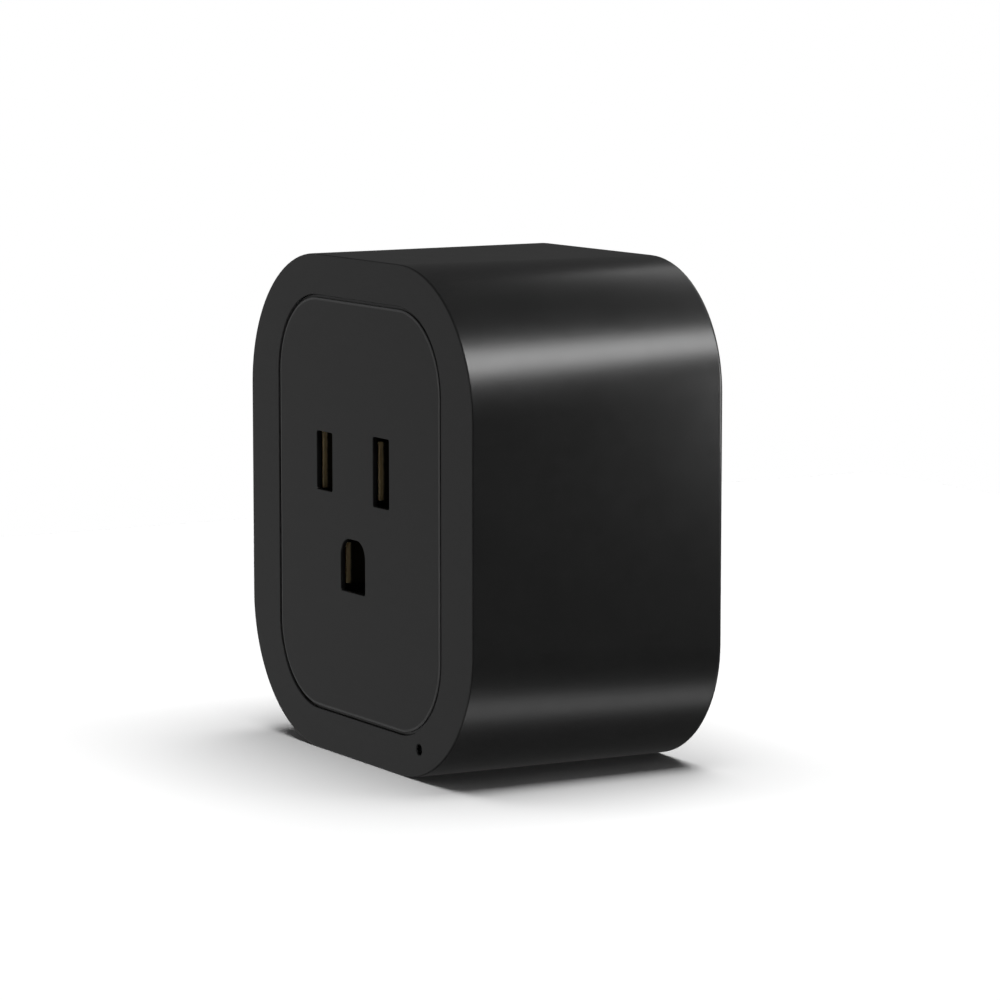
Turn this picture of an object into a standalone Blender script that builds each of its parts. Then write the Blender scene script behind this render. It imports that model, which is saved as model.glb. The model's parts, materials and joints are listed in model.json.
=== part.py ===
"""Smart plug: a switched wall plug with a grounded outlet and folding prongs.

The plug stands on its bottom flat. X runs across the face, the face looks
towards -Y, and Z is up from the bottom. Sizes are in millimetres, and every
helper turns them into metres.
"""

import math

import bmesh
import bpy
from mathutils import Matrix, Vector

MM = 0.001
GAP = 0.3

# Body
WIDTH = 54.4
HEIGHT = 60.0
DEPTH = 33.9
CORNER = 17.0
REAR_CORNER = 15.2
WALL = 2.0
FRONT = -DEPTH / 2
REAR = DEPTH / 2
MID_Z = HEIGHT / 2

# Front panel, set flush in a window of the face
PANEL_WIDTH = 39.3
PANEL_HEIGHT = 48.7
PANEL_CORNER = 9.55
PANEL_GAP = 0.35
PANEL_LIP = 1.5
PANEL_RIM = 2.0
FLANGE_LIP = 1.5
FLANGE_FRONT = FRONT + WALL + GAP
PANEL_BACK = FLANGE_FRONT + 1.2

# Outlet pattern: two blade slots above one ground aperture
OUTLET_X = -1.2
SLOT_Z = 35.2
BLADE_PITCH = 12.7
GROUND_DROP = 11.9
SLOT_OFFSET = BLADE_PITCH / 2 + 0.65
SLOT_WIDTH = 3.9
SHORT_SLOT = 7.1
LONG_SLOT = 8.3
GROUND_WIDTH = 6.0
GROUND_HEIGHT = 6.4
GROUND_Z = SLOT_Z - GROUND_DROP
SLOT_LIP = 0.6
LEAF_FRONT = FRONT + SLOT_LIP + 0.25
LEAF = 0.5

# Prongs, folded down into wells in the rear cover
PRONG_PITCH = 12.7
PRONG_THICKNESS = 1.5
PRONG_WIDTH = 6.35
PRONG_REACH = 15.9
GROUND_REACH = 19.05
GROUND_PRONG = 4.8
BLADE_AXIS = (0.0, REAR - 3.5, 37.2)
GROUND_AXIS = (0.0, REAR - 2.7, BLADE_AXIS[2] - GROUND_DROP)
PIVOT_RADIUS = 0.85
PIVOT_BORE = 1.15

# Screw bosses, main board and the spaces on each side of it
BOSS_X = 20.5
BOSS_Z = (15.0, 45.0)
BOSS_RADIUS = 3.2
BOARD_FRONT = 2.0
BOARD_BACK = 3.6
ON_BOARD = BOARD_FRONT - GAP
BEHIND_BOARD = BOARD_BACK + GAP
BLOCK_FRONT = FRONT + PANEL_LIP + GAP
BLOCK_BACK = -3.5

# Side button and status light
BUTTON_Y = -1.5
BUTTON_WIDTH = 5.0
BUTTON_HEIGHT = 14.0
LIGHT_X = 14.8
LIGHT_Z = 3.8
LIGHT_HOLE = 0.6
LIGHT_PIPE = 0.35

# Relay, standing on the main board above the outlet block
RELAY_X = (-9.5, 9.5)
RELAY_Y = (-12.6, 1.4)
RELAY_Z = (41.6, 56.8)
RELAY_WALL = 0.8
COIL_X = -3.2
COIL_Z = 49.2
ARMATURE_AXIS = (2.1, -10.9, COIL_Z)
BASE_THICKNESS = 1.3
BOBBIN_Y = (-1.6, -9.4)
BOBBIN_BORE = 1.4
HUB_RADIUS = 2.0
FLANGE_RADIUS = 4.4
FLANGE_THICKNESS = 0.7
CONTACT_WIDTH = 3.4
RIVET_Y = -4.4
RIVET_RADIUS = 1.0

COLLECTION = "smart_plug"
CUTTERS = "cutters"
AXES = "XYZ"
TURNS = {
    "X": Matrix.Rotation(math.pi / 2, 4, "Y"),
    "Y": Matrix.Rotation(-math.pi / 2, 4, "X"),
    "Z": Matrix.Identity(4),
}

FINISHES = {
    "case_black": ((0.024, 0.025, 0.027), 0.50, 0.0),
    "panel_black": ((0.028, 0.029, 0.031), 0.48, 0.0),
    "button_black": ((0.026, 0.026, 0.028), 0.40, 0.0),
    "smoke_clear": ((0.010, 0.010, 0.012), 0.15, 0.0),
    "block_black": ((0.012, 0.012, 0.013), 0.55, 0.0),
    "carrier_black": ((0.018, 0.018, 0.019), 0.45, 0.0),
    "brass": ((0.62, 0.44, 0.17), 0.28, 1.0),
    "nickel": ((0.66, 0.64, 0.60), 0.24, 1.0),
    "steel": ((0.50, 0.50, 0.50), 0.35, 1.0),
    "copper": ((0.60, 0.25, 0.12), 0.35, 1.0),
    "board_green": ((0.02, 0.12, 0.06), 0.40, 0.0),
    "relay_blue": ((0.03, 0.12, 0.32), 0.35, 0.0),
    "bobbin_cream": ((0.72, 0.68, 0.56), 0.50, 0.0),
    "cap_yellow": ((0.70, 0.48, 0.06), 0.40, 0.0),
    "sleeve_black": ((0.03, 0.03, 0.04), 0.35, 0.0),
    "core_grey": ((0.07, 0.07, 0.07), 0.60, 0.0),
    "disc_blue": ((0.04, 0.16, 0.45), 0.35, 0.0),
    "resistor_green": ((0.14, 0.30, 0.22), 0.45, 0.0),
    "chip_black": ((0.015, 0.015, 0.015), 0.40, 0.0),
    "lens_white": ((0.80, 0.80, 0.75), 0.20, 0.0),
}


# ---------------------------------------------------------------- helpers

def collection(name):
    """Find or make a collection under the scene."""
    found = bpy.data.collections.get(name)
    if found is None:
        found = bpy.data.collections.new(name)
        bpy.context.scene.collection.children.link(found)
    return found


def finish(name):
    """Find or make one of the plug's materials."""
    found = bpy.data.materials.get(name)
    if found is not None:
        return found
    colour, roughness, metallic = FINISHES[name]
    made = bpy.data.materials.new(name)
    made.use_nodes = True
    shader = made.node_tree.nodes["Principled BSDF"]
    shader.inputs["Base Color"].default_value = (*colour, 1.0)
    shader.inputs["Roughness"].default_value = roughness
    shader.inputs["Metallic"].default_value = metallic
    return made


def place(name, mesh, look):
    """Put a mesh in the scene as a part, or as a tool body where look is None."""
    piece = bpy.data.objects.new(name, mesh)
    if look is None:
        collection(CUTTERS).objects.link(piece)
        piece.hide_render = True
        piece.display_type = "WIRE"
        return piece
    collection(COLLECTION).objects.link(piece)
    mesh.materials.append(finish(look))
    return piece


def settle(name, bm, look):
    """Turn a bmesh into a placed piece with outward faces and smooth curves."""
    bmesh.ops.recalc_face_normals(bm, faces=bm.faces[:])
    if bm.calc_volume(signed=True) < 0:
        bmesh.ops.reverse_faces(bm, faces=bm.faces[:])
    mesh = bpy.data.meshes.new(name)
    bm.to_mesh(mesh)
    bm.free()
    mesh.shade_smooth()
    mesh.set_sharp_from_angle(angle=math.radians(35))
    return place(name, mesh, look)


def box(name, x, y, z, look=None):
    """A box between a low and a high value on each axis."""
    low = Vector((x[0], y[0], z[0])) * MM
    high = Vector((x[1], y[1], z[1])) * MM
    bm = bmesh.new()
    scale = Matrix.Diagonal((*(high - low), 1.0))
    bmesh.ops.create_cube(bm, size=1.0, matrix=Matrix.Translation((low + high) / 2) @ scale)
    return settle(name, bm, look)


def rod(name, axis, centre, span, radius, look=None, segments=24):
    """A cylinder along one axis, from span[0] to span[1]."""
    middle = Vector(centre)
    middle[AXES.index(axis)] = sum(span) / 2
    bm = bmesh.new()
    bmesh.ops.create_cone(
        bm, cap_ends=True, segments=segments, radius1=radius * MM, radius2=radius * MM,
        depth=(span[1] - span[0]) * MM, matrix=Matrix.Translation(middle * MM) @ TURNS[axis])
    return settle(name, bm, look)


def arc(centre, radius, start, end, steps):
    """Points along an arc, with its angles in degrees."""
    angles = [math.radians(start + (end - start) * i / steps) for i in range(steps + 1)]
    return [(centre[0] + radius * math.cos(a), centre[1] + radius * math.sin(a)) for a in angles]


def rounded(width, height, radius, steps=12, bottom=None):
    """Outline of a rounded rectangle about (0, 0); bottom is a second radius."""
    low = radius if bottom is None else bottom
    across, up = width / 2, height / 2
    points = arc((across - radius, up - radius), radius, 0, 90, steps)
    points += arc((radius - across, up - radius), radius, 90, 180, steps)
    points += arc((low - across, low - up), low, 180, 270, steps)
    points += arc((across - low, low - up), low, 270, 360, steps)
    return points


def slab(name, outline, axis, centre, span, look=None):
    """A flat outline given depth along an axis; centre is its place across it."""
    outline = [point for i, point in enumerate(outline) if math.dist(point, outline[i - 1]) > 1e-4]
    curve = bpy.data.curves.new(name, "CURVE")
    curve.dimensions = "2D"
    curve.fill_mode = "BOTH"
    curve.extrude = (span[1] - span[0]) / 2 * MM
    spline = curve.splines.new("POLY")
    spline.points.add(len(outline) - 1)
    for point, (u, v) in zip(spline.points, outline):
        point.co = (u * MM, v * MM, 0.0, 1.0)
    spline.use_cyclic_u = True
    sketch = bpy.data.objects.new(name, curve)
    bpy.context.scene.collection.objects.link(sketch)
    depsgraph = bpy.context.evaluated_depsgraph_get()
    mesh = bpy.data.meshes.new_from_object(sketch.evaluated_get(depsgraph))
    bpy.data.objects.remove(sketch)
    bpy.data.curves.remove(curve)
    bm = bmesh.new()
    bm.from_mesh(mesh)
    bpy.data.meshes.remove(mesh)
    bmesh.ops.remove_doubles(bm, verts=bm.verts[:], dist=1e-6)
    depth = sum(span) / 2
    columns = {
        "X": ((0, 1, 0), (0, 0, 1), (1, 0, 0), (depth, centre[0], centre[1])),
        "Y": ((1, 0, 0), (0, 0, 1), (0, -1, 0), (centre[0], depth, centre[1])),
        "Z": ((1, 0, 0), (0, 1, 0), (0, 0, 1), (centre[0], centre[1], depth)),
    }
    across, up, out, middle = columns[axis]
    turn = Matrix((across, up, out)).transposed().to_4x4()
    bm.transform(Matrix.Translation(Vector(middle) * MM) @ turn)
    return settle(name, bm, look)


def loft(name, sections, look=None):
    """A body drawn along Y through outlines of equal point count, each at its depth."""
    bm = bmesh.new()
    rings = [[bm.verts.new(Vector((u, depth, MID_Z + v)) * MM) for u, v in outline]
             for outline, depth in sections]
    for first, second in zip(rings, rings[1:]):
        for i in range(len(first)):
            bm.faces.new((first[i - 1], first[i], second[i], second[i - 1]))
    bm.faces.new(rings[0])
    bm.faces.new(rings[-1])
    return settle(name, bm, look)


def strip(name, points, across, width, thickness, look=None):
    """A folded metal strip: a bent line drawn out sideways and made solid."""
    side = Vector(across) * MM
    bm = bmesh.new()
    line = [bm.verts.new(Vector(point) * MM - side * width / 2) for point in points]
    edges = [bm.edges.new(pair) for pair in zip(line, line[1:])]
    drawn = bmesh.ops.extrude_edge_only(bm, edges=edges)
    moved = [item for item in drawn["geom"] if isinstance(item, bmesh.types.BMVert)]
    bmesh.ops.translate(bm, verts=moved, vec=side * width)
    piece = settle(name, bm, look)
    sheet = piece.modifiers.new("Sheet", "SOLIDIFY")
    sheet.thickness = thickness * MM
    sheet.offset = 0.0
    sheet.use_even_offset = True
    return piece


def turned(name, profile, axis, centre, look=None, steps=24, closed=False):
    """A turned piece; the profile is (radius, height) down its outer side."""
    bm = bmesh.new()
    line = [bm.verts.new((r * MM, 0.0, h * MM)) for r, h in profile]
    pairs = list(zip(line, line[1:]))
    if closed:
        pairs.append((line[-1], line[0]))
    for pair in pairs:
        bm.edges.new(pair)
    mesh = bpy.data.meshes.new(name)
    bm.to_mesh(mesh)
    bm.free()
    piece = place(name, mesh, look)
    piece.matrix_world = Matrix.Translation(Vector(centre) * MM) @ TURNS[axis]
    screw = piece.modifiers.new("Turn", "SCREW")
    screw.steps = steps
    screw.render_steps = steps
    screw.use_merge_vertices = True
    screw.merge_threshold = 1e-6
    screw.use_smooth_shade = True
    return piece


def combine(target, operation, tools):
    """Add one Boolean for each tool body."""
    for tool in tools:
        step = target.modifiers.new(tool.name, "BOOLEAN")
        step.operation = operation
        step.solver = "EXACT"
        step.object = tool


def cut(target, *tools):
    """Take tool bodies out of a piece."""
    combine(target, "DIFFERENCE", tools)


def join(target, *tools):
    """Add tool bodies to a piece."""
    combine(target, "UNION", tools)


def hang(name, axis_point, pieces):
    """Parent moving pieces to an empty that stands on their joint's axis."""
    empty = bpy.data.objects.new(name, None)
    empty.location = Vector(axis_point) * MM
    empty.empty_display_size = 5 * MM
    collection(COLLECTION).objects.link(empty)
    bpy.context.view_layer.update()
    for piece in pieces:
        piece.parent = empty
        piece.matrix_parent_inverse = empty.matrix_world.inverted()


# ------------------------------------------------------------ outlet parts

def slot_place(side):
    """Centre of a blade slot; side is -1 for the left slot and 1 for the right."""
    return (OUTLET_X + side * SLOT_OFFSET, SLOT_Z)


def slot_outline(side):
    """The right slot is the long one."""
    return rounded(SLOT_WIDTH, LONG_SLOT if side > 0 else SHORT_SLOT, 0.25, steps=2)


def chamber(side, front, back, name):
    """Tool body for the space that a blade contact fills."""
    inner, outer = SLOT_OFFSET - 2.7, SLOT_OFFSET + 2.7
    x = sorted((OUTLET_X + side * inner, OUTLET_X + side * outer))
    return box(name, x, (front, back), (SLOT_Z - 4.5, SLOT_Z + 4.5))


def ground_chamber(front, back, name):
    """Tool body for the space that the ground contact fills."""
    return box(name, (OUTLET_X - 4.05, OUTLET_X + 4.05), (front, back),
               (GROUND_Z - 3.5, GROUND_Z + 3.5))


def chambers(front, back, label):
    """All three contact spaces, between two depths."""
    return [chamber(-1, front, back, label + "_left"), chamber(1, front, back, label + "_right"),
            ground_chamber(front, back, label + "_ground")]


def socket_panel():
    """Flush front panel: a thin plate, a rim, and a flange behind the face."""
    panel = slab("socket_panel", rounded(PANEL_WIDTH, PANEL_HEIGHT, PANEL_CORNER), "Y",
                 (0, MID_Z), (FRONT, PANEL_BACK - 0.3), "panel_black")
    flange = slab("panel_flange", rounded(PANEL_WIDTH + 2 * FLANGE_LIP, PANEL_HEIGHT + 2 * FLANGE_LIP,
                                          PANEL_CORNER + FLANGE_LIP),
                  "Y", (0, MID_Z), (FLANGE_FRONT, PANEL_BACK))
    pocket = slab("panel_pocket", rounded(PANEL_WIDTH - 2 * PANEL_RIM, PANEL_HEIGHT - 2 * PANEL_RIM,
                                          PANEL_CORNER - PANEL_RIM),
                  "Y", (0, MID_Z), (FRONT + PANEL_LIP, PANEL_BACK + 1))
    join(panel, flange)
    cut(panel, pocket, *chambers(FRONT + SLOT_LIP, FRONT + PANEL_LIP + 1, "lip"))
    for side, label in ((-1, "left"), (1, "right")):
        cut(panel, slab("slot_" + label, slot_outline(side), "Y", slot_place(side),
                        (FRONT - 1, FRONT + SLOT_LIP + 0.5)))
    aperture = rounded(GROUND_WIDTH, GROUND_HEIGHT, GROUND_WIDTH * 0.42, steps=6, bottom=0.3)
    cut(panel, slab("ground_aperture", aperture, "Y", (OUTLET_X, GROUND_Z),
                    (FRONT - 1, FRONT + SLOT_LIP + 0.5)))


def socket_block():
    """Insulating block that holds the three contacts behind the panel."""
    block = box("socket_block", (OUTLET_X - 12, OUTLET_X + 12), (BLOCK_FRONT, BLOCK_BACK),
                (16.5, 40.5), "block_black")
    cut(block, *chambers(BLOCK_FRONT - 1, BLOCK_BACK + 1, "block"))


def clip(name, inner, outer, pinch, web, centre_x, z, height):
    """A sprung clip of brass: two leaves with flared mouths on one web."""
    mouth = LEAF_FRONT + 1.0
    throat = LEAF_FRONT + 3.4
    waist = LEAF_FRONT + 6.9
    points = [
        (outer, LEAF_FRONT), (outer, mouth), (pinch[1], throat), (pinch[1] + 0.45, waist),
        (pinch[1] + 0.45, web), (pinch[0] - 0.45, web), (pinch[0] - 0.45, waist),
        (pinch[0], throat), (inner, mouth), (inner, LEAF_FRONT)]
    line = [(centre_x + x, y, z) for x, y in points]
    return strip(name, line, (0, 0, 1), height, LEAF, "brass")


def contacts():
    """Blade clips and the ground clip."""
    reach = SLOT_WIDTH / 2 + LEAF / 2 - 0.1
    grip = PRONG_THICKNESS / 2 + LEAF / 2 + 0.1
    for side, name in ((-1, "hot_contact"), (1, "neutral_contact")):
        blade_x = BLADE_PITCH / 2 * side
        slot_x = SLOT_OFFSET * side
        clip(name, slot_x - reach, slot_x + reach, (blade_x - grip, blade_x + grip),
             -5.4, OUTLET_X, SLOT_Z, 7.0)
    clip("ground_contact", -3.3, 3.3, (-2.75, 2.75), -5.0, OUTLET_X, GROUND_Z, 5.0)


def busbars():
    """Strips from the contacts to the main board."""
    bar_y = BLOCK_BACK - 1.1
    strip("hot_busbar", [(-9.9, bar_y, SLOT_Z), (-7.0, bar_y, SLOT_Z), (-7.0, ON_BOARD, SLOT_Z)],
          (0, 0, 1), 4.4, LEAF, "copper")
    strip("neutral_busbar", [(4.0, bar_y, SLOT_Z), (7.2, bar_y, SLOT_Z), (7.2, ON_BOARD, SLOT_Z)],
          (0, 0, 1), 4.4, LEAF, "copper")
    strip("ground_strap", [(OUTLET_X, bar_y + 0.4, GROUND_Z - 1.8), (OUTLET_X, bar_y + 0.4, GROUND_Z + 2.3),
                           (OUTLET_X, ON_BOARD, GROUND_Z + 2.3)],
          (1, 0, 0), 3.6, LEAF, "copper")


# -------------------------------------------------------------- case parts

def front_shell():
    """Case with the face: full depth, open at the rear, with four bosses.

    Its corners are rounder at the face than at the rear.
    """
    shell = loft("front_shell", [(rounded(WIDTH, HEIGHT, CORNER, steps=16), FRONT),
                                 (rounded(WIDTH, HEIGHT, REAR_CORNER, steps=16), REAR)], "case_black")
    cavity = slab("case_cavity", rounded(WIDTH - 2 * WALL, HEIGHT - 2 * WALL, CORNER - WALL),
                  "Y", (0, MID_Z), (FRONT + WALL, REAR + 1))
    window = slab("face_window", rounded(PANEL_WIDTH + 2 * PANEL_GAP, PANEL_HEIGHT + 2 * PANEL_GAP,
                                         PANEL_CORNER + PANEL_GAP),
                  "Y", (0, MID_Z), (FRONT - 1, FRONT + WALL + 1))
    cut(shell, cavity, window)
    front, rear = PANEL_BACK + GAP, REAR - WALL - 0.5
    for index, (x, z) in enumerate(boss_places()):
        reach = sorted((x, math.copysign(WIDTH / 2 - 1.2, x)))
        boss = rod(f"boss_{index}", "Y", (x, 0, z), (front, rear), BOSS_RADIUS)
        rib = box(f"boss_rib_{index}", reach, (front + 0.6, rear - 0.6), (z - 1.2, z + 1.2))
        join(shell, boss, rib)
        cut(shell, rod(f"boss_bore_{index}", "Y", (x, 0, z), (3.0, rear + 1), 1.35, segments=16))
    cut(shell, rod("light_hole", "Y", (LIGHT_X, 0, LIGHT_Z), (FRONT - 1, FRONT + WALL + 1),
                   LIGHT_HOLE, segments=16))
    cut(shell, slab("button_window", rounded(BUTTON_WIDTH + 2 * GAP, BUTTON_HEIGHT + 2 * GAP,
                                             BUTTON_WIDTH / 2 + GAP, steps=6),
                    "X", (BUTTON_Y, MID_Z), (-WIDTH / 2 - 1, -WIDTH / 2 + WALL + 1)))


def boss_places():
    """The four screw places, as (x, z)."""
    return [(x, z) for z in BOSS_Z for x in (-BOSS_X, BOSS_X)]


def rear_cover():
    """Rear plate with the block whose wells take the folded prongs."""
    inset = WALL + GAP
    cover = slab("rear_cover", rounded(WIDTH - 2 * inset, HEIGHT - 2 * inset, CORNER - inset),
                 "Y", (0, MID_Z), (REAR - WALL, REAR), "case_black")
    join(cover, box("well_block", (-11, 11), (8.2, REAR - 1), (2.8, 43.4)))
    open_rear = REAR + 1
    blade_y, blade_z = BLADE_AXIS[1:]
    ground_y, ground_z = GROUND_AXIS[1:]
    cut(cover, box("carrier_well", (-8.2, 8.2), (blade_y - 3.65, open_rear),
                   (blade_z - 3.6, blade_z + 3.6)))
    for side, label in ((-1, "left"), (1, "right")):
        middle = side * PRONG_PITCH / 2
        cut(cover,
            box("blade_well_" + label, (middle - 1.35, middle + 1.35), (blade_y - 3.65, open_rear),
                (blade_z - PRONG_REACH - 4.1, blade_z)),
            box("finger_well_" + label, (middle - 1.95, middle + 1.95), (REAR - 4.5, open_rear),
                (13.4, 19.0)),
            box("wiper_well_" + label, sorted((side * 7.0, side * 8.2)), (7, blade_y - 3),
                (blade_z - 2.0, blade_z + 2.0)))
    cut(cover,
        box("ground_well", (-3.3, 3.3), (ground_y - 2.9, open_rear), (3.2, ground_z + 2.9)),
        box("ground_finger_well", (-5.2, 5.2), (REAR - 3.8, open_rear), (3.6, 8.6)),
        box("ground_wiper_well", (-2.2, 2.2), (ground_y - 3.7, ground_y), (22.7, 28.0)),
        box("ground_wiper_slot", (-2.2, 2.2), (7, ground_y - 3), (26.7, 28.0)),
        rod("blade_pin_bore", "X", BLADE_AXIS, (-10.0, 10.0), PIVOT_BORE, segments=16),
        rod("ground_pin_bore", "X", GROUND_AXIS, (-4.8, 4.8), PIVOT_BORE, segments=16))
    for index, (x, z) in enumerate(boss_places()):
        cut(cover,
            rod(f"screw_bore_{index}", "Y", (x, 0, z), (REAR - WALL - 1, REAR + 1), 1.35, segments=16),
            rod(f"screw_seat_{index}", "Y", (x, 0, z), (REAR - 1.4, REAR + 1), 2.5))


def cover_screws():
    """Pan head screws with a cross recess, one for each boss."""
    head = (REAR - 1.1, REAR - 0.15)
    for index, (x, z) in enumerate(boss_places()):
        profile = [(0, 9.0), (0.6, 9.0), (1.0, 8.2), (1.0, 0.0), (2.15, 0.0), (2.15, head[0] - head[1] + 0.3),
                   (1.8, head[0] - head[1]), (0, head[0] - head[1])]
        screw = turned(f"cover_screw_{index + 1}", [(r, -h) for r, h in reversed(profile)], "Y",
                       (x, head[0], z), "steel", steps=16)
        for turn, wide, tall in (("a", 2.2, 0.5), ("b", 0.5, 2.2)):
            cut(screw, box(f"cross_{index}{turn}", (x - wide / 2, x + wide / 2), (head[1] - 0.5, head[1] + 1),
                           (z - tall / 2, z + tall / 2)))


def light_pipe():
    """Clear rod that bends from the face to the status light."""
    points = [(LIGHT_X, FRONT + 0.4, LIGHT_Z), (LIGHT_X, -12.4, LIGHT_Z), (LIGHT_X, -11.2, LIGHT_Z + 0.15),
              (LIGHT_X - 0.2, -3.6, LIGHT_Z + 2.5), (LIGHT_X - 0.3, -2.4, LIGHT_Z + 2.7),
              (LIGHT_X - 0.3, 0.5, LIGHT_Z + 2.7)]
    curve = bpy.data.curves.new("light_pipe", "CURVE")
    curve.dimensions = "3D"
    curve.bevel_depth = LIGHT_PIPE * MM
    curve.bevel_resolution = 2
    curve.use_fill_caps = True
    spline = curve.splines.new("POLY")
    spline.points.add(len(points) - 1)
    for point, place_mm in zip(spline.points, points):
        point.co = (*(Vector(place_mm) * MM), 1.0)
    pipe = bpy.data.objects.new("light_pipe", curve)
    collection(COLLECTION).objects.link(pipe)
    curve.materials.append(finish("smoke_clear"))


# ------------------------------------------------------------ moving parts

def blade_outline():
    """Side view of a flat prong about its pivot: round root, chamfered tip."""
    half = PRONG_WIDTH / 2
    reach = PRONG_REACH + REAR - BLADE_AXIS[1]
    tip = 1.3
    return arc((0, 0), half, 0, 180, 12) + [
        (-half, tip - reach), (tip * 0.7 - half, -reach), (half - tip * 0.7, -reach), (half, tip - reach)]


def blades():
    """Both flat prongs on one carrier, which turns on a steel pin."""
    pieces = []
    for side, name in ((-1, "hot_blade"), (1, "neutral_blade")):
        middle = side * PRONG_PITCH / 2
        span = (middle - PRONG_THICKNESS / 2, middle + PRONG_THICKNESS / 2)
        blade = slab(name, blade_outline(), "X", BLADE_AXIS[1:], span, "nickel")
        cut(blade, rod(name + "_bore", "X", BLADE_AXIS, (span[0] - 1, span[1] + 1), PIVOT_BORE, segments=16))
        hole_at = (0, BLADE_AXIS[1], BLADE_AXIS[2] - PRONG_REACH + 1.3)
        cut(blade, rod(name + "_hole", "X", hole_at, (span[0] - 1, span[1] + 1), 1.6, segments=16))
        pieces.append(blade)
    inner = PRONG_PITCH / 2 - PRONG_THICKNESS / 2 - GAP
    carrier = rod("blade_carrier", "X", BLADE_AXIS, (-inner, inner), 3.0, "carrier_black")
    cut(carrier, rod("carrier_bore", "X", BLADE_AXIS, (-inner - 1, inner + 1), PIVOT_BORE, segments=16))
    pieces.append(carrier)
    hang("blades_axis", BLADE_AXIS, pieces)
    rod("blade_pivot_pin", "X", BLADE_AXIS, (-9.7, 9.7), PIVOT_RADIUS, "steel", segments=16)


def ground_prong():
    """Round prong in its own carrier, on a shorter pin."""
    pin_radius = GROUND_PRONG / 2
    y, z = GROUND_AXIS[1:]
    neck = z - 3.7
    tip = z - GROUND_REACH - (REAR - y)
    nose = [(r, tip + pin_radius + h) for r, h in arc((0, 0), pin_radius, 0, -90, 5)]
    profile = [(0, neck + 1.5), (1.5, neck + 1.5), (1.5, neck - GAP), (pin_radius, neck - GAP)] + nose[:-1]
    profile.append((0, tip))
    pin = turned("ground_pin", profile, "Z", (0, y, 0), "nickel", steps=20)
    carrier = rod("ground_carrier", "X", GROUND_AXIS, (-3.0, 3.0), 2.6, "carrier_black")
    join(carrier, rod("ground_collar", "Z", (0, y, 0), (neck, z), 2.45))
    cut(carrier, rod("collar_bore", "Z", (0, y, 0), (neck - 1, neck + 1.8), 1.8, segments=16),
        rod("ground_bore", "X", GROUND_AXIS, (-4, 4), PIVOT_BORE, segments=16))
    hang("ground_axis", GROUND_AXIS, [pin, carrier])
    rod("ground_pivot_pin", "X", GROUND_AXIS, (-4.5, 4.5), PIVOT_RADIUS, "steel", segments=16)


def wipers():
    """Spring strips that carry current from the prongs' roots to the board."""
    z = BLADE_AXIS[2]
    for side, name in ((-1, "hot_wiper"), (1, "neutral_wiper")):
        x = side * 7.6
        strip(name, [(x, 11.9, z), (x, BEHIND_BOARD + 1.2, z), (x + side * 1.2, BEHIND_BOARD + 0.2, z),
                     (x + side * 3.0, BEHIND_BOARD + 0.2, z)],
              (0, 0, 1), 3.2, 0.4, "copper")
    y, z = GROUND_AXIS[1:]
    strip("ground_wiper", [(0, y - 3.15, 23.2), (0, y - 3.15, 27.3), (0, BEHIND_BOARD + 0.2, 27.3)],
          (1, 0, 0), 3.6, 0.4, "copper")


def power_button():
    """Side button with a retaining flange and a stem, and the switch behind it."""
    face = -WIDTH / 2 + 0.05
    inside = -WIDTH / 2 + WALL + GAP
    cap = slab("power_button", rounded(BUTTON_WIDTH, BUTTON_HEIGHT, BUTTON_WIDTH / 2, steps=6),
               "X", (BUTTON_Y, MID_Z), (face, inside + 0.2), "button_black")
    join(cap,
         slab("button_flange", rounded(BUTTON_WIDTH + 2, BUTTON_HEIGHT + 2, BUTTON_WIDTH / 2 + 1, steps=6),
              "X", (BUTTON_Y, MID_Z), (inside, inside + 0.7)),
         rod("button_stem", "X", (0, BUTTON_Y, MID_Z), (inside + 0.4, inside + 1.0), 1.1, segments=16))
    body_x = (-22.6, -18.6)
    body = box("tact_switch_body", body_x, (BUTTON_Y - 1.9, ON_BOARD), (MID_Z - 3, MID_Z + 3), "chip_black")
    bore_x = (body_x[0] - 1, body_x[0] + 1.4)
    cut(body, rod("switch_bore", "X", (0, BUTTON_Y, MID_Z), bore_x, 1.1, segments=16))
    plunger = rod("tact_switch_plunger", "X", (0, BUTTON_Y, MID_Z), (inside + 1.3, body_x[0] + 0.7), 0.75,
                  "bobbin_cream", segments=16)
    hang("button_axis", (-WIDTH / 2, BUTTON_Y, MID_Z), [cap, plunger])


# ------------------------------------------------------------- electronics

def main_board():
    """Mains board with wings between the screw bosses."""
    board = box("main_board", x=(-22.6, 22.6), y=(BOARD_FRONT, BOARD_BACK), z=(4.4, 55.6), look="board_green")
    wing = 16.8
    for x in ((-WIDTH, -wing), (wing, WIDTH)):
        for z in ((0, BOSS_Z[0] + 3.8), (BOSS_Z[1] - 3.8, HEIGHT)):
            cut(board, box(f"board_corner_{x[0]:.0f}_{z[0]:.0f}", x, (BOARD_FRONT - 1, BOARD_BACK + 1), z))


def relay_shell():
    """Relay case, open at the board, and the base that closes it."""
    case = box("relay_case", RELAY_X, RELAY_Y, RELAY_Z, "relay_blue")
    inner_x = (RELAY_X[0] + RELAY_WALL, RELAY_X[1] - RELAY_WALL)
    inner_z = (RELAY_Z[0] + RELAY_WALL, RELAY_Z[1] - RELAY_WALL)
    cut(case, box("relay_room", inner_x, (RELAY_Y[0] + RELAY_WALL, RELAY_Y[1] + 1), inner_z))
    box("relay_base", (inner_x[0] + GAP, inner_x[1] - GAP), (RELAY_Y[1] - BASE_THICKNESS, RELAY_Y[1]),
        (inner_z[0] + GAP, inner_z[1] - GAP), "block_black")


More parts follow.
